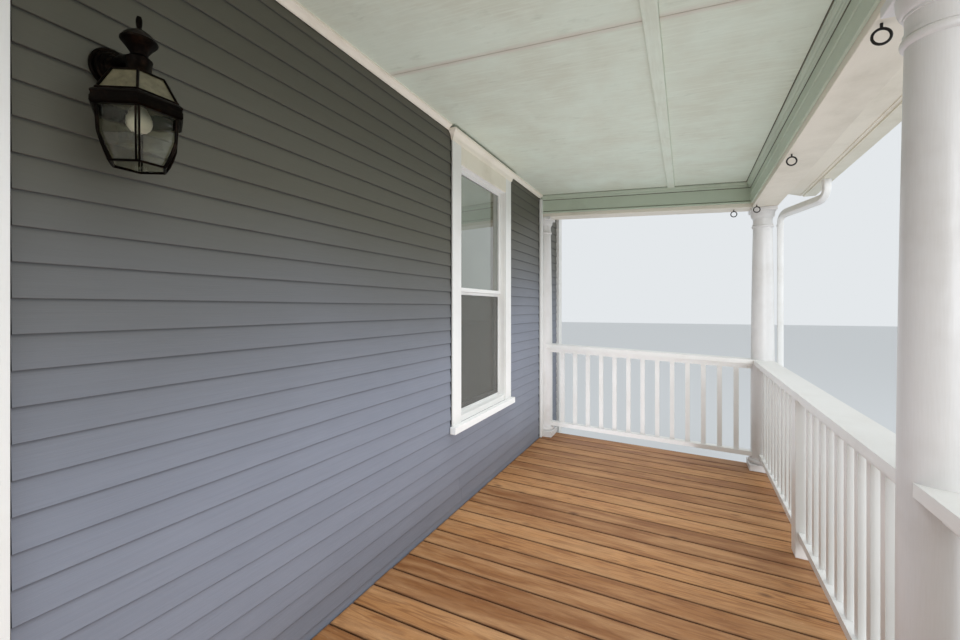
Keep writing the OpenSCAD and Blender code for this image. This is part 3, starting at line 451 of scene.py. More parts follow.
def stained_decking():
    """Pressure-treated pine decking under an orange-brown oil stain.

    The planed boards show long grain, darker late wood and knots. Feet have worn the stain to
    tan in places, and the ends and edges stay darker.
    """
    wood = Finish("stained_pine_decking", "#c38d56", ior=1.5)
    bend = wood.joined("MULTIPLY", wood.noise("grain", 700, 60.0, 2.0, 0.5), 9.0)
    shift = add(wood.tree, "ShaderNodeCombineXYZ", {1: bend}).outputs[0]
    inputs = {0: wood.laid("grain", 900, 11), 1: shift}
    swirl = add(wood.tree, "ShaderNodeVectorMath", inputs, operation="ADD").outputs[0]
    inputs = {"Vector": swirl, "Scale": 0.32, "Distortion": 2.2, "Detail": 3.0, "Detail Scale": 1.2}
    rings = add(wood.tree, "ShaderNodeTexWave", inputs, bands_direction="Y").outputs[1]
    fibres = wood.noise("grain", 55, 1.3, 4.0, 0.7)
    wear = wood.noise("grain", 520, 75.0, 4.0, 0.62)
    scuffs = wood.noise("grain", 60, 14.0, 5.0, 0.7)
    inputs = {"Vector": wood.laid("grain", 420, 210), "Scale": 1.0}
    knots = add(wood.tree, "ShaderNodeTexVoronoi", inputs).outputs["Distance"]
    wood.coat(wood.source("tone"), 0, 1, 1, "#855428")
    wood.coat(rings, 0.35, 0.95, 0.6, "#7e4d25")
    wood.coat(wear, 0.42, 0.68, 0.75, "#cda070")
    wood.coat(fibres, 0.4, 0.75, 0.55, "#744826")
    wood.coat(scuffs, 0.62, 0.8, 0.5, "#dcbb90")
    wood.coat(knots, 0.11, 0.03, 0.8, "#4c2a16")
    wood.coat(wood.source("soil"), 0, 1, 0.75, "#4a2c18")
    wood.sheen(wear, 0.3, 0.7, 0.5, 0.72)
    return wood.done(wood.joined("ADD", fibres, rings), 0.4)


def framing_lumber():
    """Sawn fir framing, left bare and dry: matt, with band-saw fuzz along the grain."""
    wood = Finish("sawn_framing_lumber", "#c4a273", ior=1.5)
    rings = wood.noise("grain", 900, 9.0, 3.0, 0.6, 0.8)
    fibres = wood.noise("grain", 45, 1.2, 3.0, 0.7)
    age = wood.noise("grain", 500, 120.0, 3.0, 0.6)
    wood.coat(wood.source("tone"), 0, 1, 1, "#a9845a")
    wood.coat(rings, 0.42, 0.66, 0.6, "#8f6a42")
    wood.coat(age, 0.45, 0.75, 0.5, "#9a8b76")
    wood.sheen(fibres, 0.2, 0.8, 0.7, 0.88)
    return wood.done(fibres, 0.5)


def shingle_grit():
    """Asphalt shingles with a coat of mineral grit: matt and speckled, each tab a little different.

    The grit is about 1.5 mm. It is drawn at 5 mm, because a finer speckle doesn't show.
    """
    asphalt = Finish("asphalt_shingle_grit", "#4f4c49", ior=1.5, roughness=0.9)
    grains = asphalt.noise("place", 5, 5, 2.0, 0.7)
    asphalt.coat(asphalt.source("tone"), 0, 1, 1, "#66615b")
    asphalt.coat(grains, 0.4, 0.62, 0.8, "#2f2e2e")
    asphalt.coat(asphalt.noise("place", 700, 700, 3.0), 0.45, 0.7, 0.3, "#6f6a60")
    return asphalt.done(grains, 0.8)


def brickwork():
    """Fired clay bricks, moulded and wood-burnt: matt, pitted, from orange-red to plum."""
    clay = Finish("fired_clay_brick", "#8a4a38", ior=1.5, roughness=0.88)
    pits = clay.noise("place", 9, 9, 4.0, 0.7)
    clay.coat(clay.source("tone"), 0, 1, 1, "#6d3a31")
    clay.coat(clay.noise("place", 90, 90, 3.0), 0.4, 0.7, 0.6, "#9c6450")
    clay.coat(pits, 0.58, 0.75, 0.7, "#b39a88")
    return clay.done(pits, 1.2)


def baked_enamel(name, paint, dusty):
    """Aluminium sheet with factory enamel: even, smooth and satin, with a little road dust."""
    sheet = Finish(name, paint, ior=1.5)
    dust = sheet.noise("place", 260, 260, 5.0, 0.65)
    sheet.coat(dust, 0.45, 0.75, 0.5, dusty)
    sheet.sheen(dust, 0.3, 0.7, 0.3, 0.45)
    return sheet.done(sheet.noise("place", 60, 60, 1.0), 0.3)


def dark_bronze():
    """Cast and spun brass under an oil-rubbed bronze finish.

    Almost black, with a soft sheen, and rubbed to brown where hands and weather reach.
    """
    metal = Finish("oil_rubbed_bronze", "#110e0c", metallic=1.0)
    rubbed = metal.noise("place", 22, 22, 4.0, 0.65)
    metal.coat(rubbed, 0.5, 0.75, 1, "#2b2019")
    metal.sheen(rubbed, 0.3, 0.7, 0.52, 0.34)
    return metal.done(metal.noise("place", 2.0, 2.0, 2.0), 0.08)


def mottled(name, colours, spots, levels=(0, 1), sheen=(), depth_mm=0.0, **values):
    """Two colours that follow one noise over the place, which also gives sheen and relief."""
    first, second = colours
    made = Finish(name, first, **values)
    mask = made.noise("place", *spots)
    made.coat(mask, *levels, 1, second)
    if sheen:
        made.sheen(mask, *sheen)
    return made.done(mask if depth_mm else None, depth_mm)


white_trim = painted_wood("white_painted_trim", "#edede9", "#e5e4de", "#c6c0b2", 0.36, 0.25)
column_white = painted_wood(
    "white_painted_column", "#dfdedc", "#d2cfc9", "#a9a195", 0.34, 0.35, 3.0
)
cream_trim = painted_wood("cream_painted_boards", "#e9e3d4", "#ddd5c3", "#b3aa94", 0.45, 0.5)
green_trim = painted_wood("grey_green_painted_boards", "#bdc9b6", "#b2bda9", "#949b8a", 0.42, 0.4)
cream_header = painted_wood("dusty_painted_headers", "#efe9db", "#e6dfcc", "#c4baa2", 0.4, 0.5)
door_brown = painted_wood("dark_varnished_door", "#4f3023", "#5d3b2b", "#3a241a", 0.3, 0.3)
slate_siding = clapboard_paint()
ceiling_green = ceiling_paint()
decking = stained_decking()
lumber = framing_lumber()
grit = shingle_grit()
brick = brickwork()
enamel = baked_enamel("enamelled_aluminium", "#e6e6e3", "#cbc8bf")
cream_enamel = baked_enamel("cream_enamelled_aluminium", "#ded9c6", "#c0b8a0")
bronze = dark_bronze()

# Lime and sand mortar, struck flush: chalky pale grey with coarse sand
mortar = mottled(
    "lime_mortar", ("#aaa498", "#8b857a"), (6, 6, 4.0, 0.7), (0.3, 0.7), depth_mm=1.0,
    ior=1.5, roughness=0.92,
)
# Bent iron rod under black paint: dull, with rust bleeding at the thread
iron = mottled(
    "black_painted_iron", ("#171615", "#4a2f20"), (9, 9, 4.0, 0.7), (0.6, 0.78),
    (0.4, 0.8, 0.45, 0.8), 0.2, ior=1.5,
)
# Turned brass, lacquered once and now handled to a warm shine with brown hollows
brass = mottled(
    "turned_brass", ("#b8924a", "#7d6030"), (14, 14, 4.0, 0.6), (0.4, 0.7),
    (0.3, 0.7, 0.2, 0.38), metallic=1.0,
)
# Window glass, floated flat, with a thin film of dust and sharp reflections. Its strong grey-green
# tint is painted shade: it darkens the view through the panes as a dim room behind them would
glass = mottled(
    "float_glass_shade_tinted", ("#858b80", "#979c90"), (240, 240, 1.0), (0, 1),
    (0.2, 0.8, 0.0, 0.04, "Coat Roughness"),
    ior=1.52, transmission_weight=0.9, roughness=0.01, coat_weight=1.0,
)
# Asphalt-soaked building felt: black, fibrous and dull. Where it shows in the gaps beside the
# trim, its black also stands in for their shade, as painted shade
felt_paper = mottled(
    "building_felt", ("#191817", "#2a2826"), (12, 12, 3.0, 0.7), depth_mm=0.3,
    ior=1.5, roughness=0.92,
)
# Woven fly screen: dull grey wire, see-through. Its wires are 1.4 mm apart. They are drawn as an
# even half-clear veil, because they don't show.
fly_screen = mottled(
    "woven_fly_screen", ("#5d5c58", "#74726c"), (60, 60, 3.0), ior=1.5, roughness=0.7, alpha=0.5
)
# Bevelled lantern glass: thick, clear and faintly yellow, with streaks from the grinding
clear_pane = mottled(
    "bevelled_lantern_glass", ("#f6f6ea", "#e4e5d4"), (30, 9, 2.0, 0.5, 0.6), depth_mm=0.3,
    ior=1.52, transmission_weight=1.0, roughness=0.01,
)
# Sloping lantern panes, dimmed by dust and old varnish: olive and barely see-through
roof_pane = mottled(
    "dusty_lantern_glass", ("#6a6449", "#4b462f"), (18, 18, 4.0, 0.65), (0.35, 0.7),
    (0.3, 0.7, 0.3, 0.5), ior=1.5, transmission_weight=0.25,
)
# A blown lamp bulb, frosted inside: soft white, smooth outside
bulb_white = mottled(
    "frosted_lamp_glass", ("#fbfaf5", "#f1efe6"), (20, 20, 2.0), ior=1.5, roughness=0.3
)
# Oil caulk in the joints of the ceiling's trim: shrunk, cracked and dark with dirt. Its dark beads
# also stand in for the shadow lines at these joints, as painted shade
shade_line_caulk = mottled(
    "aged_oil_caulk_shade_lines", ("#4c4a3f", "#6b685a"), (25, 25, 4.0, 0.7), depth_mm=0.3,
    ior=1.5, roughness=0.8,
)

# Openings and casings, from the frame

NEAR = 1 * MM  # places that close count as one
LEAST = 3 * MM  # no sheet, board or stud is narrower
HOLES = [solids("window_frames")[0], solids("door_frame")[0], solids("window_frames")[-1]]
Casing = namedtuple("Casing", "centre inner outer face foot head cap top cap_face")


def casing_sizes():
    """Each casing's centre, half widths inside and outside, face, head and moulding heights."""
    shape = clean_copy("casings")
    found = []
    for group in separate(shape):
        low, high = corners(group)
        places = [vert.co.copy() for vert in group]
        centre = (low.x + high.x) / 2
        foot = [p for p in places if p.z < low.z + NEAR]
        face = min(p.y for p in foot)
        inner = min(abs(p.x - centre) for p in foot)
        outer = max(abs(p.x - centre) for p in foot)
        head = max(p.z for p in places if abs(p.x - centre) < inner + NEAR)
        cap = min(p.z for p in places if p.y < face - NEAR)
        found.append(Casing(centre, inner, outer, face, low.z, head, cap, high.z, low.y))
    shape.free()
    return sorted(found)


def around_holes(low, high, z0, z1):
    """Rectangles (x0, x1, z0, z1) that cover the wall between two heights, but no opening."""
    at, found = low.x, []
    for hole_lo, hole_hi in HOLES:
        found.append((at, hole_lo.x, z0, z1))
        found.append((hole_lo.x, hole_hi.x, z0, min(z1, hole_lo.z)))
        found.append((hole_lo.x, hole_hi.x, max(z0, hole_hi.z), z1))
        at = hole_hi.x
    found.append((at, high.x, z0, z1))
    return [r for r in found if r[1] - r[0] > LEAST and r[3] - r[2] > LEAST]


def bond(start, end, length, shifted):
    """The joints in a course of pieces about that long, moved by half a piece if shifted."""
    count = max(1, round((end - start) / length))
    pitch = (end - start) / count
    shift = 0.5 * pitch if shifted else 0.0
    inner = [start + shift + k * pitch for k in range(0 if shifted else 1, count)]
    return [start, *inner, end]


def cut_back(start, end, low, high, gap):
    """A run of material that leaves half a joint at each end, but none at the ends of it all."""
    return start + (gap if start > low + NEAR else 0.0), end - (gap if end < high - NEAR else 0.0)


CASINGS = casing_sizes()
corner_boxes = solids("corner_boards")

# Clapboards

COURSE = 80.5 * MM  # height that each board shows
COURSE_LINE = 2.888  # height of one board's lower edge
LAP = 20 * MM
BUTT = 6.6 * MM  # thickness at the lower edge
BUTT_BACK = BUTT + 2 * MM
OWN_DEPTH = (0, 0.7)  # in millimetres, how far a board lies back
TAPER = 7.6 / 100.5  # how fast a board thins towards its top
EDGE = 1.4 * MM  # height of the rounded lower edge
LEVELS = (0.0, EDGE, 73 * MM, 78.5 * MM, COURSE + LAP)  # of the points on a board's face
# At the top of each board's face, under the next board's lower edge, the soils are dirt and painted
# shade
LAP_SHADE_AND_SOILS = (0.35, 0.0, 0.0, 0.6, 1.0, 1.0, 1.0)  # at those and at the two points behind
BOARD_BACK = 16.5 * MM
BUTT_BEVEL = 1.2 * MM
TRIM_GAP = 5.5 * MM  # the boards end that far from the casings
BOARD_LENGTHS = (1.7, 3.9)
SHORTEST_BOARD = 0.7
HALF_JOINT = 0.4 * MM
WAVE_STEP = 0.24
EDGE_WAVES = (1.7, 31.0, 0.0)  # along the board, upwards, and where in the noise
FACE_WAVES = (2.3, 17.0, 9.0)
EDGE_WANDER = 1.5 * MM
FACE_WANDER = 0.6 * MM
LEAST_SHOW = 5 * MM  # of a board that is cut under a casing
STARTER_LAP = 8 * MM
STARTER_DEEP = 3 * MM
PAPER = (18.2 * MM, 19.6 * MM)  # how deep the building paper lies behind the face


def waves(x, z, scales):
    """Smooth noise from -1 to 1 along a board at some height."""
    return noise.noise(Vector((x * scales[0], z * scales[1], scales[2])))


def clapboard(work, x0, x1, butt, top_limit):
    """One lapped board. Its lower edge wanders a little, as on an old wall."""
    steps = max(1, math.ceil((x1 - x0) / WAVE_STEP))
    own = work.chance.uniform(*OWN_DEPTH) * MM
    rings = []
    for i in range(steps + 1):
        x = x0 + (x1 - x0) * i / steps
        lift = waves(x, butt, EDGE_WAVES) * EDGE_WANDER
        back = own + (1 + waves(x, butt, FACE_WAVES)) * FACE_WANDER
        side = [(back + max(0.0, level - EDGE) * TAPER, level) for level in LEVELS]
        side[0] = (back + BUTT_BEVEL, 0.0)
        side += [(BOARD_BACK, COURSE + LAP), (BUTT_BACK, 0.0)]
        low = [lift if level < COURSE / 2 else 0.0 for _, level in side]
        rings.append(
            [
                (x, FACE_Y + deep, min(butt + level + move, top_limit))
                for (deep, level), move in zip(side, low)
            ]
        )
    work.loft(rings, 0, soils=[LAP_SHADE_AND_SOILS] * len(rings))


def lay_clapboards():
    """Courses of clapboards from the foundation to the top of the wall, cut at the trim."""
    work = Workpiece(11)
    left = corner_boxes[0][1].x + TRIM_GAP
    right = corner_boxes[-1][0].x - TRIM_GAP
    first = math.ceil((siding_lo.z - COURSE_LINE) / COURSE)
    last = math.floor((siding_hi.z - COURSE_LINE) / COURSE)
    stops = [(c.centre - c.outer, c.centre + c.outer, c.foot, c.top) for c in CASINGS]
    stops += [(low.x, high.x, low.z, high.z) for low, high in corner_boxes[1:-1]]
    for course in range(first, last + 1):
        butt = COURSE_LINE + course * COURSE
        at, runs = left, []
        for x0, x1, z0, z1 in sorted(stops):
            if butt + COURSE <= z0 or butt >= z1:
                continue
            runs.append((at, x0 - TRIM_GAP, siding_hi.z))
            if butt < z0 - LEAST_SHOW:
                runs.append((x0 - TRIM_GAP, x1 + TRIM_GAP, z0))
            at = x1 + TRIM_GAP
        runs.append((at, right, siding_hi.z))
        for start, stop, top in runs:
            at = start
            while at < stop - NEAR:
                length = work.chance.uniform(*BOARD_LENGTHS)
                end = stop if stop - at - length < SHORTEST_BOARD else at + length
                clapboard(work, at + HALF_JOINT, end - HALF_JOINT, butt, top)
                at = end
    # A starter strip fills the wall below the first whole course
    lowest = COURSE_LINE + first * COURSE
    if lowest - siding_lo.z > STARTER_LAP:
        front, back = FACE_Y + STARTER_DEEP, FACE_Y + BOARD_BACK
        work.block((left, front, siding_lo.z), (right, back, lowest + STARTER_LAP), 0)
    work.done("clapboard_courses", slate_siding, "siding_paint", ["wall_siding"])


def building_paper():
    """Black felt paper between the clapboards and the wall's boards, cut out at the openings."""
    work = Workpiece(10)
    front, back = FACE_Y + PAPER[0], FACE_Y + PAPER[1]
    # Its black, where it shows in the gaps beside the trim, is partly painted shade
    for x0, x1, z0, z1 in around_holes(siding_lo, siding_hi, siding_lo.z, siding_hi.z):
        work.block((x0, front, z0), (x1, back, z1), 0)
    work.done("building_paper", felt_paper, "siding_paint")


lay_clapboards()
building_paper()

# White trim on the wall

OGEE = (
    (0.0, 0.0), (0.10, 0.0), (0.10, 0.05), (0.16, 0.09), (0.20, 0.17), (0.22, 0.26),
    (0.26, 0.36), (0.33, 0.46), (0.43, 0.55), (0.56, 0.62), (0.70, 0.68), (0.82, 0.75),
    (0.90, 0.82), (0.90, 0.86), (1.0, 0.86), (1.0, 1.0), (0.0, 1.0),
)


def corner_trim():
    """The corner boards. Those at the wall's ends reach back to the building paper."""
    work = Workpiece(12)
    for low, high in corner_boxes:
        at_end = max(abs(low.x), abs(high.x)) > ROOM_X + NEAR
        work.block(low, (high.x, FACE_Y + (PAPER[0] if at_end else 0.0), high.z))
    work.done("corner_trim", white_trim, "white_paint", ["corner_boards"], 2.5 * MM)


def flat_casings():
    """Flat boards beside each opening, and a header board with a moulding that returns."""
    work, heads, caps = Workpiece(13), Workpiece(20), Workpiece(14)
    for c in CASINGS:
        for side in (-1, 1):
            x0, x1 = sorted((c.centre + side * c.inner, c.centre + side * c.outer))
            work.block((x0, c.face, c.foot), (x1, FACE_Y, c.top), 2)
        heads.block((c.centre - c.inner, c.face, c.head), (c.centre + c.inner, FACE_Y, c.top), 0)
        rings = []
        for share, rise in OGEE:
            out = share * (c.face - c.cap_face)
            z = c.cap + rise * (c.top - c.cap)
            x0, x1 = c.centre - c.outer - out, c.centre + c.outer + out
            line = ((x0, FACE_Y), (x0, c.face - out), (x1, c.face - out), (x1, FACE_Y))
            rings.append([(x, y, z) for x, y in line])
        caps.loft(rings, 0)
    work.done("flat_casings", white_trim, "white_paint", ["casings"], 1.6 * MM)
    heads.done("header_boards", cream_header, "white_paint", (), 1.6 * MM)
    caps.done("header_mouldings", cream_header, "white_paint", smooth=28)


corner_trim()
flat_casings()

# Windows

window_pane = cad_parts["window_glass"]
window_pane.data.materials.clear()
window_pane.data.materials.append(glass)

MID_WINDOW = 1.2  # a height above the deck that is within the lower panes
SCREEN_RIM = 20 * MM
SCREEN_PLAY = 1 * MM
SCREEN_DEEP = (58 * MM, 48 * MM)  # how deep its back and front lie in the frame
MEETING_RAIL = 26 * MM
MESH_DEEP = (5 * MM, 4 * MM)  # how far the mesh lies in front of the rim's back


def fly_screens():
    """A half screen in the outer track of each window, in front of the lower sash."""
    wires, rims = Workpiece(18), Workpiece(19)
    upper_panes = [box for box in solids("window_glass") if box[0].z > DECK_Z + MID_WINDOW]
    back, front = (FACE_Y + deep for deep in SCREEN_DEEP)
    for (low, high), (pane_lo, _) in zip(solids("window_sashes"), upper_panes):
        x0, x1 = low.x + SCREEN_PLAY, high.x - SCREEN_PLAY
        z0, z1 = low.z, pane_lo.z - MEETING_RAIL - SCREEN_PLAY
        a, b, c, d = x0 + SCREEN_RIM, x1 - SCREEN_RIM, z0 + SCREEN_RIM, z1 - SCREEN_RIM
        for under, over in ((z0, c), (d, z1)):
            rims.block((x0, front, under), (x1, back, over), 0)
        for near, far in ((x0, a), (b, x1)):
            rims.block((near, front, c), (far, back, d), 2)
        wires.block((a, back - MESH_DEEP[0], c), (b, back - MESH_DEEP[1], d), 2)
    rims.done("fly_screen_rims", enamel, "white_paint", (), 1.5 * MM)
    wires.done("fly_screen_mesh", fly_screen, "glass")


fly_screens()

# Front door

STILE, MID_STILE = 0.13, 0.06  # widths as shares of the door's width
LOCK_RAIL = (0.42, 0.50)  # its foot and top as shares of the door's height
LOW_RAIL_H = 1.6  # in widths of a stile
PANEL_DEEP = 13 * MM  # how far the panels lie behind the stiles
PANEL_FIELD = ((28, 0), (52, 8), (56, 9))  # (inset, rise) of the raised field
PANEL_BEAD = 9 * MM
# The knob, from (share of its radius, distance in front of the door)
KNOB = (
    (1, 0.0), (1, 0.004), (0.86, 0.007), (0.4, 0.010), (0.34, 0.020), (0.42, 0.030),
    (0.66, 0.036), (0.84, 0.044), (0.84, 0.052), (0.7, 0.060), (0.4, 0.0645),
)
KNOB_OUT = 0.065
# Half the keyhole plate's width, its thickness, and how far its foot and top lie under the knob
KEY_PLATE = (17 * MM, 3 * MM, 150 * MM, 62 * MM)


def panelled_door():
    """Stiles and rails around four raised panels, each with a small moulding."""
    work = Workpiece(22)
    low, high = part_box("front_door")
    width, tall = high.x - low.x, high.z - low.z
    stile, mid = width * STILE, width * MID_STILE
    rail_low, rail_top = low.z + stile * LOW_RAIL_H, high.z - stile
    lock_low, lock_high = (low.z + tall * share for share in LOCK_RAIL)
    for x0, x1 in ((low.x, low.x + stile), (high.x - stile, high.x)):
        work.block((x0, low.y, low.z), (x1, high.y, high.z), 2)
    for z0, z1 in ((low.z, rail_low), (lock_low, lock_high), (rail_top, high.z)):
        work.block((low.x + stile, low.y, z0), (high.x - stile, high.y, z1), 0)
    front, back = low.y + PANEL_DEEP, high.y - PANEL_DEEP
    for z0, z1 in ((rail_low, lock_low), (lock_high, rail_top)):
        work.block((-mid, low.y, z0), (mid, high.y, z1), 2)
        for x0, x1 in ((low.x + stile, -mid), (mid, high.x - stile)):
            work.block((x0, front, z0), (x1, back, z1), 2)
            for face, sign in ((front, -1), (back, 1)):
                rings = []
                for inset, rise in in_metres(PANEL_FIELD):
                    a, b, c, d = x0 + inset, x1 - inset, z0 + inset, z1 - inset
                    y = face + sign * rise
                    rings.append([(a, y, c), (b, y, c), (b, y, d), (a, y, d)])
                work.loft(rings, 2)
                y0, y1 = sorted((face, face + sign * PANEL_BEAD))
                a, b, c, d = x0 + PANEL_BEAD, x1 - PANEL_BEAD, z0 + PANEL_BEAD, z1 - PANEL_BEAD
                for near, far in ((x0, a), (b, x1)):
                    work.block((near, y0, z0), (far, y1, z1), 2)
                for under, over in ((z0, c), (d, z1)):
                    work.block((a, y0, under), (b, y1, over), 0)
    work.done("panelled_door", door_brown, "door_paint", ["front_door"], 2 * MM)


def door_furniture():
    """A turned knob on a round rose, over a keyhole plate."""
    work = Workpiece(23)
    low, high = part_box("door_knob")
    x, z = (low.x + high.x) / 2, (low.z + high.z) / 2
    r = (high.z - low.z) / 2
    outline = [(TIP, 0.0), *[(r * share, -out) for share, out in KNOB], (TIP, -KNOB_OUT)]
    work.turned(outline, (x, high.y, z), 40, axis=1)
    half, thick, foot, top = KEY_PLATE
    work.block((x - half, high.y - thick, z - foot), (x + half, high.y, z - top))
    work.done("door_furniture", brass, "brass", ["door_knob"], smooth=35)


panelled_door()
door_furniture()

# Lanterns, with heights above the deck in millimetres

LANTERN_X = 0.7545
LANTERN_OUT = 116 * MM
ARM_UP = 1.910
PLATE = (
    (0.1, 0), (53, 0), (53, 5), (50, 8), (46, 8), (45, 13), (40, 15), (38, 20), (32, 22),
    (30, 27), (22, 31), (0.1, 32),
)
ARM_R = 18.5 * MM
ARM_BEND = 9 * MM
ARM = ((14, 3), (34, 8), (58, 9), (84, 3), (104, -10), (114, -26))
CROWN_TURNING = (
    (0.1, 1864), (31, 1864), (34, 1867), (34, 1872), (28, 1876), (26, 1881), (26, 1902),
    (28, 1907), (28, 1911), (23, 1916), (17, 1921), (18, 1925), (28, 1941), (37, 1951),
    (39, 1954), (39, 1957), (36, 1960), (33, 1966), (24, 1975), (13, 1982), (7, 1986),
    (5, 1990), (6, 1994), (7, 2002), (7, 2010), (5, 2017), (0.1, 2020),
)
SOCKET_TURNING = ((0.1, 1792), (15, 1792), (17, 1800), (14, 1822), (0.1, 1824))
BAND = (
    (88, 1767), (99, 1767), (103, 1771), (103, 1782), (100.5, 1786), (100.5, 1790),
    (103, 1794), (101, 1798), (91, 1805), (84, 1805), (84, 1775),
)
ROOF_EDGE = ((90, 1804), (59, 1862))
ROOF_FOOT = (90, 1806)
CAP = ((60, 1862), (60, 1866), (30, 1869), (5, 1869), (5, 1864), (57, 1861))
CAGE = ((89, 1768), (85.5, 1708), (78, 1684), (69, 1663), (60, 1649))
LOW_RAIL = (60, 1648)
CAGE_R = 2.4 * MM
HIP_R = 3.2 * MM
ROOF_FOOT_R = 3.4 * MM
STEM = (1.866, 1.800)  # in metres
STEM_R = 7 * MM
CAME_HALF = 3.3  # half the distance between the pair of bars at each corner
GLASS_LEVELS = ((88, 1767), (84.5, 1707), (59, 1648))
PANE_IN = 1.5 * MM
PANE_T = 2.5 * MM
GLOBE = (
    (0.1, 1729), (9, 1730.5), (17, 1735), (23, 1742), (26.5, 1751), (27, 1759),
    (25.5, 1768), (21.5, 1777), (17, 1785), (14, 1792), (13.2, 1797), (0.1, 1798),
)


def six_corners(centre, radius, height):
    """The corners of a hexagon around a centre, with two of them along the facade."""
    return [Vector(centre) + Vector((a, b, height)) for a, b in polygon(radius, 6)]


def cage_rings(centre, levels):
    """The corners of each level of a six-sided form, from (corner radius, height)."""
    return [six_corners(centre, radius, height) for radius, height in in_metres(levels)]


def cage_bars(work, centre, levels, radius, apart=0.0):
    """A bar along each of the six corners, or a pair of bars that stand apart."""
    rings = cage_rings(centre, levels)
    for i in range(6):
        turn = 2 * math.pi * i / 6
        aside = Vector((-math.sin(turn), math.cos(turn), 0.0)) * apart * MM
        for shift in (aside, -aside) if apart else (aside,):
            work.rod([ring[i] + shift for ring in rings], radius, 8)


def panes(work, centre, levels):
    """Flat panes between the bars, as thin slabs."""
    levels = in_metres(levels)
    for low, high in zip(levels, levels[1:]):
        faces = []
        for deep in (PANE_IN, PANE_IN + PANE_T):
            lower = six_corners(centre, low[0] - deep, low[1])
            upper = six_corners(centre, high[0] - deep, high[1])
            faces.append([(lower[i], lower[i - 5], upper[i - 5], upper[i]) for i in range(6)])
        for sides in zip(*faces):
            work.loft(sides, 2)


def carriage_lanterns():
    """Two wall lanterns: plate, arm, turned top, and a six-sided glazed cage with a bulb."""
    metal, turned_metal = Workpiece(24), Workpiece(25)
    clear, dim, lamp = Workpiece(26), Workpiece(27), Workpiece(28)
    for x in (-LANTERN_X, LANTERN_X):
        wall = Vector((x, FACE_Y, DECK_Z + ARM_UP))
        centre = Vector((x, FACE_Y - LANTERN_OUT, DECK_Z))
        turned_metal.turned([(r, -d) for r, d in in_metres(PLATE)], wall, 48, axis=1)
        arm = [wall + Vector((0, -out, rise)) for out, rise in in_metres(ARM)]
        turned_metal.rod(bent(arm, ARM_BEND, 3), ARM_R, 20)
        turned_metal.turned(in_metres(CROWN_TURNING), centre, 40)
        turned_metal.turned(in_metres(SOCKET_TURNING), centre, 28)
        metal.loft(cage_rings(centre, CAP), 2)
        metal.loft(cage_rings(centre, BAND), 2, closed=True)
        cage_bars(metal, centre, CAGE, CAGE_R, CAME_HALF)
        cage_bars(metal, centre, ROOF_EDGE, HIP_R)
        for level, radius in ((ROOF_FOOT, ROOF_FOOT_R), (LOW_RAIL, HIP_R)):
            metal.rod(cage_rings(centre, [level])[0], radius, 8, closed=True)
        metal.rod([centre + Vector((0, 0, height)) for height in STEM], STEM_R, 16)
        panes(clear, centre, GLASS_LEVELS)
        panes(dim, centre, ROOF_EDGE)
        lamp.turned(in_metres(GLOBE), centre, 32)
    metal.done("lantern_cages", bronze, "bronze", ["wall_lanterns"], smooth=32)
    turned_metal.done("lantern_turnings", bronze, "bronze", smooth=40)
    clear.done("lantern_clear_panes", clear_pane, "glass")
    dim.done("lantern_roof_panes", roof_pane, "glass")
    lamp.done("lantern_bulbs", bulb_white, "glass", smooth=60)


carriage_lanterns()

# Deck

BOARD_PITCH = 145 * MM
BOARD_GAP = 7 * MM
BOARD_THICK = 26 * MM
BOARD_EDGE = ((0, 4.0), (1.2, 1.2), (4.0, 0), (12, 0))  # in from the side, below the top
BOARD_CUP = 0.5 * MM
# How boards and screws vary, in millimetres
WALL_GAP = (1.5, 5.5)
END_SHORT = (0.0, 2.5)
TOP_LOW = (0.0, 0.9)
SCREW_ASIDE = (-3, 3)
SCREW_ALONG = (-4, 4)
BOARD_SOILS = (1, 1, 1, 0.75, 0.3, 0, 0, 0, 0.3, 0.75, 1)
END_GRAIN = 14 * MM  # how far dirt reaches in from a board's end
END_SOIL = 0.55
SCREW = ((0.1, -3), (3.4, -3), (3.8, -0.4), (1.6, -0.7), (0.1, -0.7))
SCREW_IN = 24 * MM
TREAD_GAP = 6 * MM


def deck_boards():
    """Boards that run out from the wall, with rounded edges, narrow gaps and uneven ends."""
    work, screws = Workpiece(31), Workpiece(32)
    count = round((deck_hi.x - deck_lo.x) / BOARD_PITCH)
    pitch = (deck_hi.x - deck_lo.x) / count
    reach = FACE_Y - deck_lo.y
    edge = in_metres(BOARD_EDGE)
    middles = sorted({round((lo.y + hi.y) / 2, 4) for lo, hi in solids("deck_joists")})
    for i in range(count):
        x0, x1 = (deck_lo.x + k * pitch for k in (i, i + 1))
        x0, x1 = cut_back(x0, x1, deck_lo.x, deck_hi.x, BOARD_GAP / 2)
        start = work.chance.uniform(*WALL_GAP) * MM
        end = reach - work.chance.uniform(*END_SHORT) * MM
        top = DECK_Z - work.chance.uniform(*TOP_LOW) * MM
        low = DECK_Z - BOARD_THICK
        outline = [(x0, low), (x1, low)]
        outline += [(x1 - a, top - b) for a, b in edge]
        outline += [((x0 + x1) / 2, top - BOARD_CUP)]
        outline += [(x0 + a, top - b) for a, b in reversed(edge)]
        lines = [start, start + END_GRAIN, reach / 3, reach * 2 / 3, end - END_GRAIN, end]
        rings = [[(x, FACE_Y - out, z) for x, z in outline] for out in lines]
        ends = [max(soil, END_SOIL) for soil in BOARD_SOILS]
        fall(work.loft(rings, 1, soils=[ends, *[BOARD_SOILS] * 4, ends]))
        for y in middles:
            for x in (x0 + SCREW_IN, x1 - SCREW_IN):
                at_x = x + screws.chance.uniform(*SCREW_ASIDE) * MM
                at_y = y + screws.chance.uniform(*SCREW_ALONG) * MM
                fall(screws.turned(in_metres(SCREW), (at_x, at_y, top), 8))
    work.done("deck_boards", decking, "deck_stain", ["deck_floor"])
    screws.done("deck_screws", iron, "bronze")


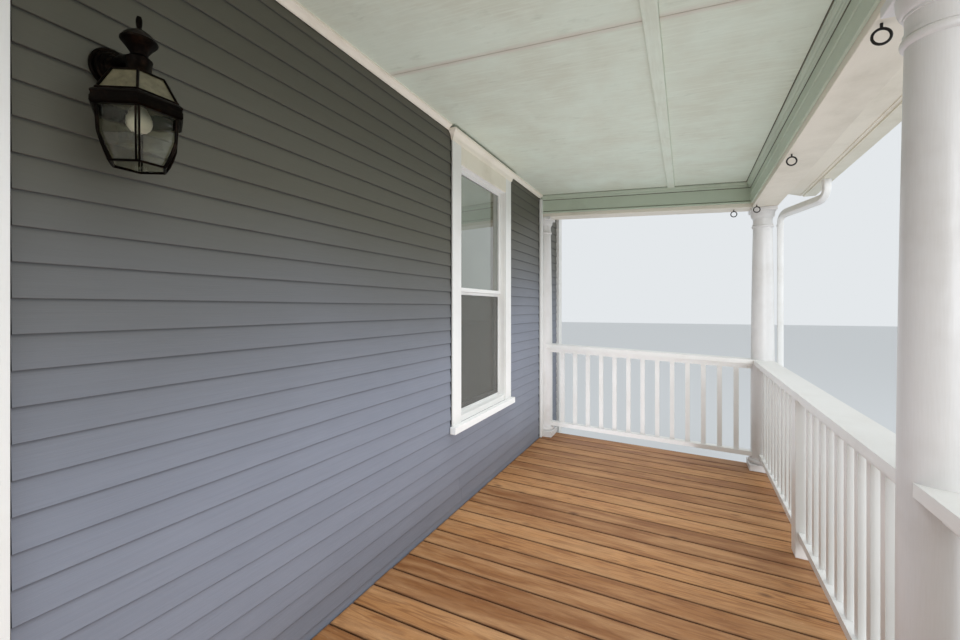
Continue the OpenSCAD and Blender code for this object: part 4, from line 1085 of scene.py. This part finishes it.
def tread_boards():
    """Two boards to a tread, with a rounded front edge."""
    work = Workpiece(33)
    for low, high in solids("step_treads"):
        half = (high.y - low.y - TREAD_GAP) / 2
        for y0, y1 in ((low.y, low.y + half), (high.y - half, high.y)):
            work.block((low.x, y0, low.z), (high.x, y1, high.z), 0)
    work.done("tread_boards", decking, "deck_stain", ["step_treads"], 6 * MM, 3)


deck_boards()
tread_boards()

# Masonry

BRICK = (215 * MM, 102.5 * MM, 65 * MM)
JOINT = 10 * MM
STRUCK = 4 * MM  # how far the mortar lies behind the bricks
SHORTEST = 20 * MM
BACK_GAP = 1 * MM  # half the room between the bricks of two opposite sides
BRICK_WANDER = (0.0, 2.5)  # in millimetres


def lay_bricks(bricks, bed, low, high):
    """Bricks in running bond on the four sides of a box, over a core of mortar."""
    bed.block((low.x + STRUCK, low.y + STRUCK, low.z), (high.x - STRUCK, high.y - STRUCK, high.z))
    courses = max(1, round((high.z - low.z) / (BRICK[2] + JOINT)))
    rise = (high.z - low.z) / courses
    for side in range(2):
        across = 1 - side
        run = high[side] - low[side]
        deep = min(BRICK[1], (high[across] - low[across]) / 2 - BACK_GAP)
        for course in range(courses):
            z0, z1 = (low.z + k * rise for k in (course, course + 1))
            z0, z1 = cut_back(z0, z1, low.z, high.z, JOINT / 2)
            edges = bond(0.0, run, BRICK[0] + JOINT, (course + side) % 2)
            for a, b in zip(edges, edges[1:]):
                if b - a < SHORTEST:
                    continue
                start, end = low[side] + a, low[side] + b
                start, end = cut_back(start, end, low[side], high[side], JOINT / 2)
                for near in (True, False):
                    wander = bricks.chance.uniform(*BRICK_WANDER) * MM
                    if near:
                        c, d = low[across] + wander, low[across] + deep
                    else:
                        c, d = high[across] - deep, high[across] - wander
                    pairs = ((start, c), (end, d)) if side == 0 else ((c, start), (d, end))
                    bricks.block((*pairs[0], z0), (*pairs[1], z1), side)


def masonry():
    """The wall's foundation and the piers, in brick."""
    bricks, bed = Workpiece(41), Workpiece(42)
    for node in ("foundation_wall", "piers"):
        for low, high in solids(node):
            lay_bricks(bricks, bed, low, high)
    bricks.done("brick_courses", brick, "masonry", ["foundation_wall", "piers"], 2.5 * MM, 1)
    bed.done("mortar_beds", mortar, "masonry")


masonry()

# House wall framing

STUD_W = 38 * MM
STUD_PITCH = 612 * MM
WALL_BOARD = 19 * MM
WALL_BOARD_H = 184 * MM
WALL_JOINT = (0.5 * MM, 1 * MM)  # half the joint at a board's ends and sides
HEADER_H = 184 * MM


def wall_framing():
    """Boards on studs, with plates, headers and sills around the openings."""
    work = Workpiece(43)
    low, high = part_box("house_wall")
    stud_y = low.y + WALL_BOARD

    def timber(x0, x1, z0, z1, along):
        if x1 - x0 > LEAST and z1 - z0 > LEAST:
            work.block((x0, stud_y, z0), (x1, high.y, z1), along)

    end_gap, side_gap = WALL_JOINT
    rows = round((high.z - low.z) / WALL_BOARD_H)
    rise = (high.z - low.z) / rows
    for i in range(rows):
        for x0, x1, z0, z1 in around_holes(low, high, low.z + i * rise, low.z + (i + 1) * rise):
            start = (x0 + end_gap, low.y, z0 + side_gap)
            work.block(start, (x1 - end_gap, stud_y, z1 - side_gap), 0)
    bottom, top = low.z + STUD_W, high.z - 2 * STUD_W
    timber(low.x, high.x, low.z, bottom, 0)
    timber(low.x, high.x, top, high.z - STUD_W, 0)
    timber(low.x, high.x, high.z - STUD_W, high.z, 0)
    sills = {}
    for hole_lo, hole_hi in HOLES:
        for near in (hole_lo.x - 2 * STUD_W, hole_lo.x - STUD_W, hole_hi.x, hole_hi.x + STUD_W):
            timber(near, near + STUD_W, bottom, top, 2)
        timber(hole_lo.x, hole_hi.x, hole_hi.z, hole_hi.z + HEADER_H, 0)
        is_door = hole_lo.z - bottom < 2 * HEADER_H
        sills[hole_lo.x] = bottom if is_door else hole_lo.z - STUD_W
        timber(hole_lo.x, hole_hi.x, sills[hole_lo.x], hole_lo.z, 0)
    bays = round((high.x - low.x - STUD_W) / STUD_PITCH)
    for i in range(bays + 1):
        x = low.x + (high.x - low.x - STUD_W) * i / bays
        spans = [(x, x + STUD_W, bottom, top)]
        for hole_lo, hole_hi in HOLES:
            edge0, edge1 = hole_lo.x - 2 * STUD_W, hole_hi.x + 2 * STUD_W
            if x + STUD_W <= edge0 or x >= edge1:
                continue
            inside0, inside1 = max(x, hole_lo.x), min(x + STUD_W, hole_hi.x)
            spans = [
                (x, edge0, bottom, top),
                (edge1, x + STUD_W, bottom, top),
                (inside0, inside1, hole_hi.z + HEADER_H, top),
                (inside0, inside1, bottom, sills[hole_lo.x]),
            ]
        for span in spans:
            timber(*span, 2)
    work.done("wall_framing", lumber, "timber", ["house_wall"], 1.5 * MM, 1)


wall_framing()

# Columns

SHAFT_R = 89 * MM
NECK_R = 71.5 * MM
PLINTH_W = 220 * MM
PLINTH_H = 56 * MM
PLINTH_SUNK = 4 * MM  # how far a half column's plinth reaches into the sloping deck
BASE_H = 52 * MM
ABACUS_W = 190 * MM
ABACUS_H = 32 * MM
ECHINUS_H = 60 * MM
NECK_H = 41 * MM
RING_H = 37 * MM
RING_OUT = 10 * MM
SHAFT_STEPS = 24
SWELL_UP = 0.3  # the shaft tapers from that share of the column's rise
SHAFT_CURVE = (0.35, 0.65)  # shares of the taper that grow evenly and ever faster
# Steps in millimetres: out from the shaft or the neck, and up from where each row starts
BASE_STEPS = ((6, 34), (6, 42), (2, 45))
RING_STEPS = ((4, -11), (4, -1), (0, 0))
FLARE_STEPS = ((0, 0), (3.5, 1), (3.5, 6))
FLARE_START = (4 * MM, 8 * MM)
FLARE_ARCS = 8
FLARE_INSIDE = 5 * MM  # how far it ends inside the block's edge
BASE_BULGE = (8 * MM, 32 * MM, 12 * MM)  # out from the shaft, height and swell
RING_BULGE = (2 * MM, 1 * MM, 12 * MM)  # out from the neck, inside the ring's foot and top
HALF_FACETS = 36


def deck_at(y):
    """The height of the deck's surface at some place between the wall and the steps."""
    return DECK_Z - FALL * (FACE_Y - y)


def bulge(radius, z0, z1, out, steps=7):
    """Points of a rounded moulding that swells out between two heights."""
    turns = [math.pi * i / steps for i in range(steps + 1)]
    return [
        (radius + out * math.sin(turn), z0 + (z1 - z0) * (1 - math.cos(turn)) / 2)
        for turn in turns
    ]


def column_outline(rise):
    """Base, swelling shaft, ring, neck and flare of one column, from (radius, height)."""
    foot = PLINTH_H
    low = foot + BASE_H
    flare_top = rise - ABACUS_H
    flare_low = flare_top - ECHINUS_H
    ring_top = flare_low - NECK_H
    ring_low = ring_top - RING_H
    swell = rise * SWELL_UP
    even, faster = SHAFT_CURVE
    outline = [(TIP, foot)]
    out, tall, swelling = BASE_BULGE
    outline += bulge(SHAFT_R + out, foot, foot + tall, swelling)
    outline += [(SHAFT_R + a, foot + b) for a, b in in_metres(BASE_STEPS)]
    outline.append((SHAFT_R, low))
    for i in range(1, SHAFT_STEPS + 1):
        z = low + (ring_low - low) * i / SHAFT_STEPS
        t = max(0.0, (z - swell) / (ring_low - swell))
        outline.append((SHAFT_R - (SHAFT_R - NECK_R) * (even * t + faster * t * t), z))
    out, under, over = RING_BULGE
    outline += bulge(NECK_R + out, ring_low + under, ring_top - over, RING_OUT - out)
    outline += [(NECK_R + a, ring_top + b) for a, b in in_metres(RING_STEPS)]
    outline += [(NECK_R + a, flare_low + b) for a, b in in_metres(FLARE_STEPS)]
    near, step = NECK_R + FLARE_START[0], flare_low + FLARE_START[1]
    wide = ABACUS_W / 2 - FLARE_INSIDE
    for i in range(FLARE_ARCS + 1):
        turn = math.radians(90 * i / FLARE_ARCS)
        radius = near + (wide - near) * math.sin(turn)
        outline.append((radius, step + (flare_top - step) * (1 - math.cos(turn))))
    outline.append((TIP, flare_top))
    return outline


def turned_columns():
    """Four round columns on square plinths."""
    shafts, blocks = Workpiece(51), Workpiece(52)
    for low, high in solids("porch_columns"):
        x, y = (low.x + high.x) / 2, (low.y + high.y) / 2
        foot = deck_at(y)
        shafts.turned(column_outline(BEAM_Z - foot), (x, y, foot), 96)
        half = ABACUS_W / 2
        blocks.block((x - half, y - half, BEAM_Z - ABACUS_H), (x + half, y + half, BEAM_Z), 0)
        half = PLINTH_W / 2
        made = blocks.block((x - half, y - half, foot), (x + half, y + half, foot + PLINTH_H), 0)
        for vert in made:
            if vert.co.z < foot + NEAR:
                vert.co.z = deck_at(vert.co.y)
    shafts.done("column_shafts", column_white, "white_paint", ["porch_columns"], smooth=38)
    blocks.done("column_blocks", column_white, "white_paint", (), 4 * MM, 3)


def half_columns():
    """Half a column against the wall at each end, cut around the inner corner board."""
    shafts, blocks = Workpiece(53), Workpiece(54)
    board_y = corner_boxes[1][0].y
    for low, high in solids("wall_columns"):
        x = (low.x + high.x) / 2
        side = 1 if x > 0 else -1
        board_x = side * ROOM_X
        rings = []
        for radius, height in column_outline(high.z - DECK_Z):
            ring = []
            for i in range(HALF_FACETS + 1):
                at_x = x + radius * math.cos(math.pi * i / HALF_FACETS)
                at_y = FACE_Y - radius * math.sin(math.pi * i / HALF_FACETS)
                if at_y > board_y and at_x * side < ROOM_X:
                    at_x = board_x
                ring.append((at_x, at_y, DECK_Z + height))
            rings.append(ring)
        shafts.loft(rings, 2)
        for width, z0, z1 in (
            (ABACUS_W, high.z - ABACUS_H, high.z),
            (PLINTH_W, DECK_Z - PLINTH_SUNK, DECK_Z + PLINTH_H),
        ):
            near, far = x - side * width / 2, x + side * width / 2
            outline = [(near, FACE_Y - width / 2), (far, FACE_Y - width / 2), (far, FACE_Y)]
            if near * side < ROOM_X:
                outline += [(board_x, FACE_Y), (board_x, board_y), (near, board_y)]
            else:
                outline.append((near, FACE_Y))
            blocks.prism(2, outline, z0, z1)
    shafts.done("half_column_shafts", column_white, "white_paint", ["wall_columns"], smooth=38)
    blocks.done("half_column_blocks", column_white, "white_paint", (), 4 * MM, 3)


turned_columns()
half_columns()

# Ceiling

SHEET_W = 1.219
CROSS_JOINTS = (-1.909, 1.909)
SHEET_T = 10 * MM
JOINT_GAP = 3 * MM
FILLER_W = 34 * MM  # how far the filler reaches from a cross joint
FILLER_SOILS = (0.9, 0.7, 0.0, 0.0, 0.7, 0.9)
BATTEN = (60 * MM, 12 * MM)
BATTEN_SHORT = 24 * MM  # it ends that far from the beams


def ceiling_sheets():
    """Sheets that butt in long and short joints, with a batten over the long joint."""
    work, batten = Workpiece(74), Workpiece(75)
    low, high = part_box("ceiling_panels")
    reach = FACE_Y - low.y
    edges = [low.x, *CROSS_JOINTS, high.x]
    for x0, x1 in zip(edges, edges[1:]):
        for out0, out1 in ((0.0, SHEET_W), (SHEET_W, reach)):
            a, b = cut_back(x0, x1, low.x, high.x, JOINT_GAP / 2)
            c, d = cut_back(FACE_Y - out1, FACE_Y - out0, low.y, FACE_Y, JOINT_GAP / 2)
            over = CEILING_Z + SHEET_T
            outline = ((c, CEILING_Z), (d, CEILING_Z), (d, over), (c, over))
            lines = [a, a + 0.25 * FILLER_W, a + FILLER_W, b - FILLER_W, b - 0.25 * FILLER_W, b]
            soils = list(FILLER_SOILS)
            if x0 == low.x:
                soils[:2] = 0.0, 0.0
            if x1 == high.x:
                soils[4:] = 0.0, 0.0
            rings = [[(x, y, z) for y, z in outline] for x in lines]
            fall(work.loft(rings, 1, soils=[[soil] * 4 for soil in soils]))
    work.done("ceiling_sheets", ceiling_green, "ceiling_paint", ["ceiling_panels"])
    end, half, y = ROOM_X - BATTEN_SHORT, BATTEN[0] / 2, FACE_Y - SHEET_W
    fall(batten.block((-end, y - half, CEILING_Z - BATTEN[1]), (end, y + half, CEILING_Z), 0))
    batten.done("ceiling_batten", ceiling_green, "ceiling_paint", (), 3 * MM, 3)


CROWN = (30 * MM, 34 * MM)
CROWN_STEPS = (
    (0.0, 0.0), (0.0, 1.0), (0.16, 1.0), (0.2, 0.86), (0.3, 0.72), (0.46, 0.58), (0.66, 0.48),
    (0.84, 0.38), (0.9, 0.26), (1.0, 0.26), (1.0, 0.0),
)
BED_H = 45 * MM
BED_DEEP = 30 * MM
BED_STEPS = (
    (0.0, 0.0), (0.0, -1.0), (5, -1.0), (8, -0.94), (9, -0.81), (13, -0.74), (14, -0.61),
    (14, -0.55), (20, -0.5), (25, -0.39), (27, -0.26), (30, -0.23), (30, 0.0),
)
BEAD = ((0.0, 0.0), (4, 0.0), (6.5, 3), (8, 9), (6.5, 15), (4, 18), (0.0, 18))
SMALL_BEAD = ((0.0, 0.0), (3, 0.5), (5, 3), (6, 7), (5, 11), (3, 13.5), (0.0, 14))
BEAD_UP = 2 * MM  # above the foot of the beams' lining
BEAD_TOP = 18 * MM
FRONT_BEAD_Z = 104 * MM  # above the front beam's underside
INNER_BOARD = 22 * MM  # how far the inner corner boards stand out
SHADE_CAULK = (5 * MM, 2 * MM)


def ceiling_trim():
    """The crown along the wall, and the grey-green stepped moulding and beads along the beams."""
    crown, bed, shade_caulk = Workpiece(76), Workpiece(77), Workpiece(79)
    deep, tall = CROWN
    wide, thick = SHADE_CAULK
    outline = [(FACE_Y - a * deep, CEILING_Z - b * tall) for a, b in CROWN_STEPS]
    stops = [-ROOM_X + deep]
    for c in CASINGS:
        reach = c.outer + c.face - c.cap_face
        stops += [c.centre - reach, c.centre + reach]
    stops.append(ROOM_X - deep)
    for x0, x1 in zip(stops[::2], stops[1::2]):
        fall(crown.prism(0, outline, x0, x1))
    crown.done("wall_crown", cream_header, "white_paint", ["ceiling_mouldings"], smooth=28)
    y = FACE_Y - BEAM_IN
    steps = [(a * MM, CEILING_Z + b * BED_H) for a, b in BED_STEPS]
    fall(bed.prism(0, [(y + a, z) for a, z in steps], -ROOM_X, ROOM_X))
    for sign in (-1, 1):
        fall(bed.prism(1, [(sign * (ROOM_X - a), z) for a, z in steps], y + BED_DEEP, FACE_Y))
    low = BEAM_Z + FRONT_BEAD_Z
    bed.prism(0, [(y + a, low + b) for a, b in in_metres(SMALL_BEAD)], -ROOM_X, ROOM_X)
    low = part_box("beam_lining")[0].z + BEAD_UP
    over = low + BEAD_TOP
    end = FACE_Y - INNER_BOARD
    for sign in (-1, 1):
        made = bed.prism(1, [(sign * (ROOM_X - a), low + b) for a, b in in_metres(BEAD)], y, end)
        # A dark caulk bead over each end bead: dirt, and painted shade for the shadow line there
        x0, x1 = sorted((sign * ROOM_X, sign * (ROOM_X - thick)))
        made += shade_caulk.block((x0, y, over), (x1, end, over + wide), 1)
        for vert in made:
            vert.co.z += FALL * (vert.co.y - y)
    bed.done("beam_mouldings", green_trim, "ceiling_paint")
    # Dark caulk beads at the ceiling joint and under the bed moulding: dirt, and painted shade for
    # the shadow lines there
    lines = ((BED_DEEP, BED_DEEP + wide, -thick, 0.0), (0.0, thick, -BED_H - wide, -BED_H))
    for a, b, under, over in lines:
        z0, z1 = CEILING_Z + under, CEILING_Z + over
        fall(shade_caulk.block((-ROOM_X, y + a, z0), (ROOM_X, y + b, z1), 0))
        for sign in (-1, 1):
            x0, x1 = sorted((sign * (ROOM_X - a), sign * (ROOM_X - b)))
            fall(shade_caulk.block((x0, y + b, z0), (x1, FACE_Y, z1), 1))
    shade_caulk.done("ceiling_caulk_shade_lines", shade_line_caulk, "ceiling_paint")


ceiling_sheets()
ceiling_trim()

# Roof

TAB_W = 305 * MM
SHINGLE_SHOW = 143 * MM
SHINGLE_LAP = 30 * MM
TAB_SLOT = 1.5 * MM  # half a slot between two tabs
TAB_T = 5.5 * MM
HEAD_DROP = 8 * MM
BEDDED = 0.9  # how deep the tabs' backs lie, as a share of the covering
TAB_UNDERCUT = 20 * MM
TAB_LIFT = (0.0, 0.8)  # how tabs vary, in millimetres
TAB_SLIDE = (-1.5, 1.5)
BASE_SHARES = (0.6, 0.97)
BASE_IN = (4 * MM, 2 * MM)  # the base sheet ends that far inside the eave and the rakes


def shingle_courses():
    """Courses of tabs that overlap down the slope, inside the thickness of the roof covering."""
    work = Workpiece(86)
    low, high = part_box("roof_covering")
    node = clean_copy("roof_covering")
    places = [v.co.copy() for v in node.verts]
    node.free()
    wall_top = max(p.z for p in places)
    eave = [p.z for p in places if abs(p.y - low.y) < NEAR]
    thick = max(eave) - min(eave)
    run, drop = high.y - low.y, wall_top - max(eave)
    length = math.hypot(run, drop)
    courses = round(length / SHINGLE_SHOW)
    show = length / courses
    down = Vector((0.0, -run, -drop)) / length
    up = Vector((0.0, -drop, run)) / length
    origin = Vector((0.0, high.y, wall_top))

    def sheet(profile, x0, x1):
        points = [origin + down * along + up * rise for along, rise in profile]
        work.prism(0, [(p.y, p.z) for p in points], x0, x1)

    for course in range(courses):
        end = (course + 1) * show
        head = max(0.0, course * show - SHINGLE_LAP)
        edges = bond(low.x, high.x, TAB_W, course % 2)
        for a, b in zip(edges, edges[1:]):
            lift = work.chance.uniform(*TAB_LIFT) * MM
            slide = work.chance.uniform(*TAB_SLIDE) * MM if course < courses - 1 else 0.0
            x0, x1 = cut_back(a, b, low.x, high.x, TAB_SLOT)
            profile = [
                (head, -thick * BEDDED), (head, -HEAD_DROP), (end + slide, -lift),
                (end + slide, -TAB_T), (end - TAB_UNDERCUT, -thick * BEDDED),
            ]
            sheet(profile, x0, x1)
    end = length - BASE_IN[0]
    over, under = (-thick * share for share in BASE_SHARES)
    base = [(0, over), (end, over), (end, under), (0, under)]
    sheet(base, low.x + BASE_IN[1], high.x - BASE_IN[1])
    work.done("shingle_courses", grit, "shingles", ["roof_covering"])


shingle_courses()

# Downspouts

SPOUT = (72 * MM, 50 * MM)
SPOUT_ROUND = 9 * MM
SPOUT_FOOT = 2 * MM
BAND_OVER = 3 * MM  # how much wider the bands are than the pipe
SPOUT_FLUTE = 1.8 * MM
SPOUT_TURN = 54 * MM  # the slanting run ends that far below the beam's underside
SPOUT_OUTLET = 132 * MM
SPOUT_KICK = 95 * MM
SPOUT_BENDS = (75 * MM, 45 * MM)  # of the elbows, and of the shoe at the foot
SHOE = (90 * MM, 20 * MM)  # heights above the foot where the shoe starts and ends
TOP_BANDS = ((0, 26), (48, 62))  # in millimetres below the pipe's top
ELBOW_BAND = (80 * MM, 96 * MM)  # below the lower elbow
SHOE_BAND = (160 * MM, 145 * MM)  # above the foot


def spout_section(width, depth, per_side=6):
    """A rounded rectangle whose wide sides are lightly fluted, as on pressed pipe."""
    flat, side = width / 2 - SPOUT_ROUND, depth / 2 - SPOUT_ROUND
    made = []
    for cx, cy, start in ((1, 1, 0), (-1, 1, 90), (-1, -1, 180), (1, -1, 270)):
        for i in range(4):
            turn = math.radians(start + 30 * i)
            x, y = SPOUT_ROUND * math.cos(turn), SPOUT_ROUND * math.sin(turn)
            made.append((cx * flat + x, cy * side + y))
        if cx == cy:
            for i in range(1, 2 * per_side):
                x = cy * flat * (1 - i / per_side)
                made.append((x, cy * (depth / 2 - (SPOUT_FLUTE if i % 4 in (1, 2) else 0.0))))
    return made


def bent_downspouts():
    """Pressed pipes with round elbows: out of the gutter, back to the corner and down."""
    work = Workpiece(92)
    pipe = spout_section(SPOUT[0] - BAND_OVER, SPOUT[1] - BAND_OVER)
    collar = spout_section(*SPOUT)
    across = Vector((1, 0, 0))
    for low, high in solids("downspouts"):
        side = 1 if low.x > 0 else -1
        near, far = (low.x, high.x) if side > 0 else (high.x, low.x)
        out_x, out_y = near + side * SPOUT[0] / 2, low.y + SPOUT[1] / 2
        down_x, down_y = far - side * SPOUT[0] / 2, high.y - SPOUT[1] / 2
        turn_z = BEAM_Z - SPOUT_TURN
        foot = low.z + SPOUT_FOOT
        path = [
            (out_x, out_y, high.z),
            (out_x, out_y, high.z - SPOUT_OUTLET),
            (down_x, down_y, turn_z),
            (down_x, down_y, foot + SHOE[0]),
            (down_x, down_y - SPOUT_KICK, foot + SHOE[1]),
        ]
        line = bent(path[:4], SPOUT_BENDS[0]) + bent(path[2:], SPOUT_BENDS[1])[1:]
        work.swept(line, pipe, across=across)
        bands = [[(out_x, out_y, high.z - drop) for drop in pair] for pair in in_metres(TOP_BANDS)]
        bands.append([(down_x, down_y, turn_z - drop) for drop in ELBOW_BAND])
        bands.append([(down_x, down_y, foot + rise) for rise in SHOE_BAND])
        for ends in bands:
            work.swept(ends, collar, across=across)
    work.done("bent_downspouts", enamel, "gutter_metal", ["downspouts"], smooth=30)


bent_downspouts()

# CAD shapes that only need eased edges and a finish: (node, edge radius in mm, seed, segments)

COPIES = (
    (white_trim, "white_paint", (
        ("window_frames", 1.2, 14, 2), ("window_sills", 4, 15, 3), ("window_sashes", 1.5, 16, 2),
        ("door_frame", 1.5, 17, 2), ("deck_apron", 2.5, 34, 2), ("deck_skirting", 2, 35, 2),
        ("step_stringers", 2.5, 36, 2), ("step_risers", 2, 37, 2), ("front_railings", 1.8, 61, 2),
        ("end_railings", 1.8, 62, 2), ("step_railings", 1.8, 63, 2), ("rail_caps", 4, 64, 3),
        ("railing_posts", 3, 65, 3),
    )),
    (lumber, "timber", (
        ("deck_joists", 2, 38, 1), ("deck_girders", 3, 39, 1), ("ceiling_joists", 2, 78, 1),
        ("roof_rafters", 2, 81, 1), ("roof_boarding", 2, 82, 1),
    )),
    (cream_trim, "cream_paint", (
        ("front_beam", 3, 71, 2), ("end_beams", 3, 72, 2), ("eave_soffit", 1.5, 83, 2),
        ("fascia_boards", 2, 84, 2), ("rake_boards", 2, 85, 2),
    )),
    (green_trim, "ceiling_paint", (("beam_lining", 1.5, 73, 2),)),
    (slate_siding, "siding_paint", (("end_gables", 1.5, 88, 2),)),
    (cream_enamel, "gutter_metal", (("gutter", 1.0, 91, 1),)),
    (iron, "bronze", (("ring_hooks", 0.0, 93, 2),)),
)

for finish, slot, rows in COPIES:
    for node, ease_mm, seed, segments in rows:
        work = Workpiece(seed, clean_copy(node))
        for group in separate(work.shape):
            work.mark(group, longest(*corners(group)))
        work.done(node + "_finished", finish, slot, [node], ease_mm * MM, segments)

# Floor and light

FLOOR_HALF = 60
FLOOR_DROP = 1 * MM
LIGHT_LEVEL = 0.86

floor_shape = bmesh.new()
bmesh.ops.create_grid(floor_shape, x_segments=1, y_segments=1, size=FLOOR_HALF)
floor_mesh = bpy.data.meshes.new("studio_floor")
floor_shape.to_mesh(floor_mesh)
floor_shape.free()
floor_mesh.materials.append(Finish("studio_floor", "#d6d9da", roughness=0.8).material)
floor = bpy.data.objects.new("studio_floor", floor_mesh)
floor.location = (0, 0, -FLOOR_DROP)
bpy.context.scene.collection.objects.link(floor)

world = bpy.data.worlds.new("studio")
bpy.context.scene.world = world
world.use_nodes = True
sky = world.node_tree
sky.nodes.clear()
# The light around the porch is soft and the backdrop behind it plain and pale
rays = add(sky, "ShaderNodeLightPath").outputs
seen = rays["Is Camera Ray"]
for kind in ("Is Glossy Ray", "Is Transmission Ray"):
    seen = add(sky, "ShaderNodeMath", {0: seen, 1: rays[kind]}, operation="MAXIMUM").outputs[0]
around = add(sky, "ShaderNodeBackground", {"Color": "#f4f7fa", "Strength": LIGHT_LEVEL})
backdrop = add(sky, "ShaderNodeBackground", {"Color": "#e4e8eb", "Strength": 1.0})
layers = {0: seen, 1: around.outputs[0], 2: backdrop.outputs[0]}
both = add(sky, "ShaderNodeMixShader", layers)
add(sky, "ShaderNodeOutputWorld", {"Surface": both.outputs[0]})


def soft_box(name, place, target, size, power, tint, beam=180, hidden=False):
    """A large soft lamp that faces a point. A hidden one shows in no reflection."""
    lamp = bpy.data.lights.new(name, "AREA")
    lamp.shape = "RECTANGLE"
    lamp.size, lamp.size_y = size
    lamp.energy = power
    lamp.color = linear(tint)[:3]
    lamp.spread = math.radians(beam)
    made = bpy.data.objects.new(name, lamp)
    made.location = place
    made.rotation_euler = (Vector(target) - Vector(place)).to_track_quat("-Z", "Y").to_euler()
    made.visible_camera = False
    made.visible_glossy = not hidden
    made.visible_transmission = not hidden
    bpy.context.scene.collection.objects.link(made)


soft_box("front_soft_box", (0.0, -9.0, 5.5), (0.0, 1.2, 1.4), (14, 5), 330, "#f2f7ff")
soft_box("left_soft_box", (-21.0, -5.5, 5.0), (3.5, -0.3, 1.7), (8, 6), 1150, "#f4f8ff", 120)

# Hidden lamps light the porch from below and above, as its own bright deck and eave do
MID_Y = FACE_Y - 0.8
UP_Z, DOWN_Z = DECK_Z + 0.02, CEILING_Z - 0.13
FILL = "#f0f3ff"
for name, x in (("fill_up_left", -2.7), ("fill_up_right", 2.7)):
    soft_box(name, (x, MID_Y, UP_Z), (x, MID_Y, 3.0), (4.0, 1.2), 23, FILL, 150, True)
soft_box("fill_down", (0.0, MID_Y, DOWN_Z), (0.0, MID_Y, 0.0), (8.4, 1.2), 40, FILL, 110, True)
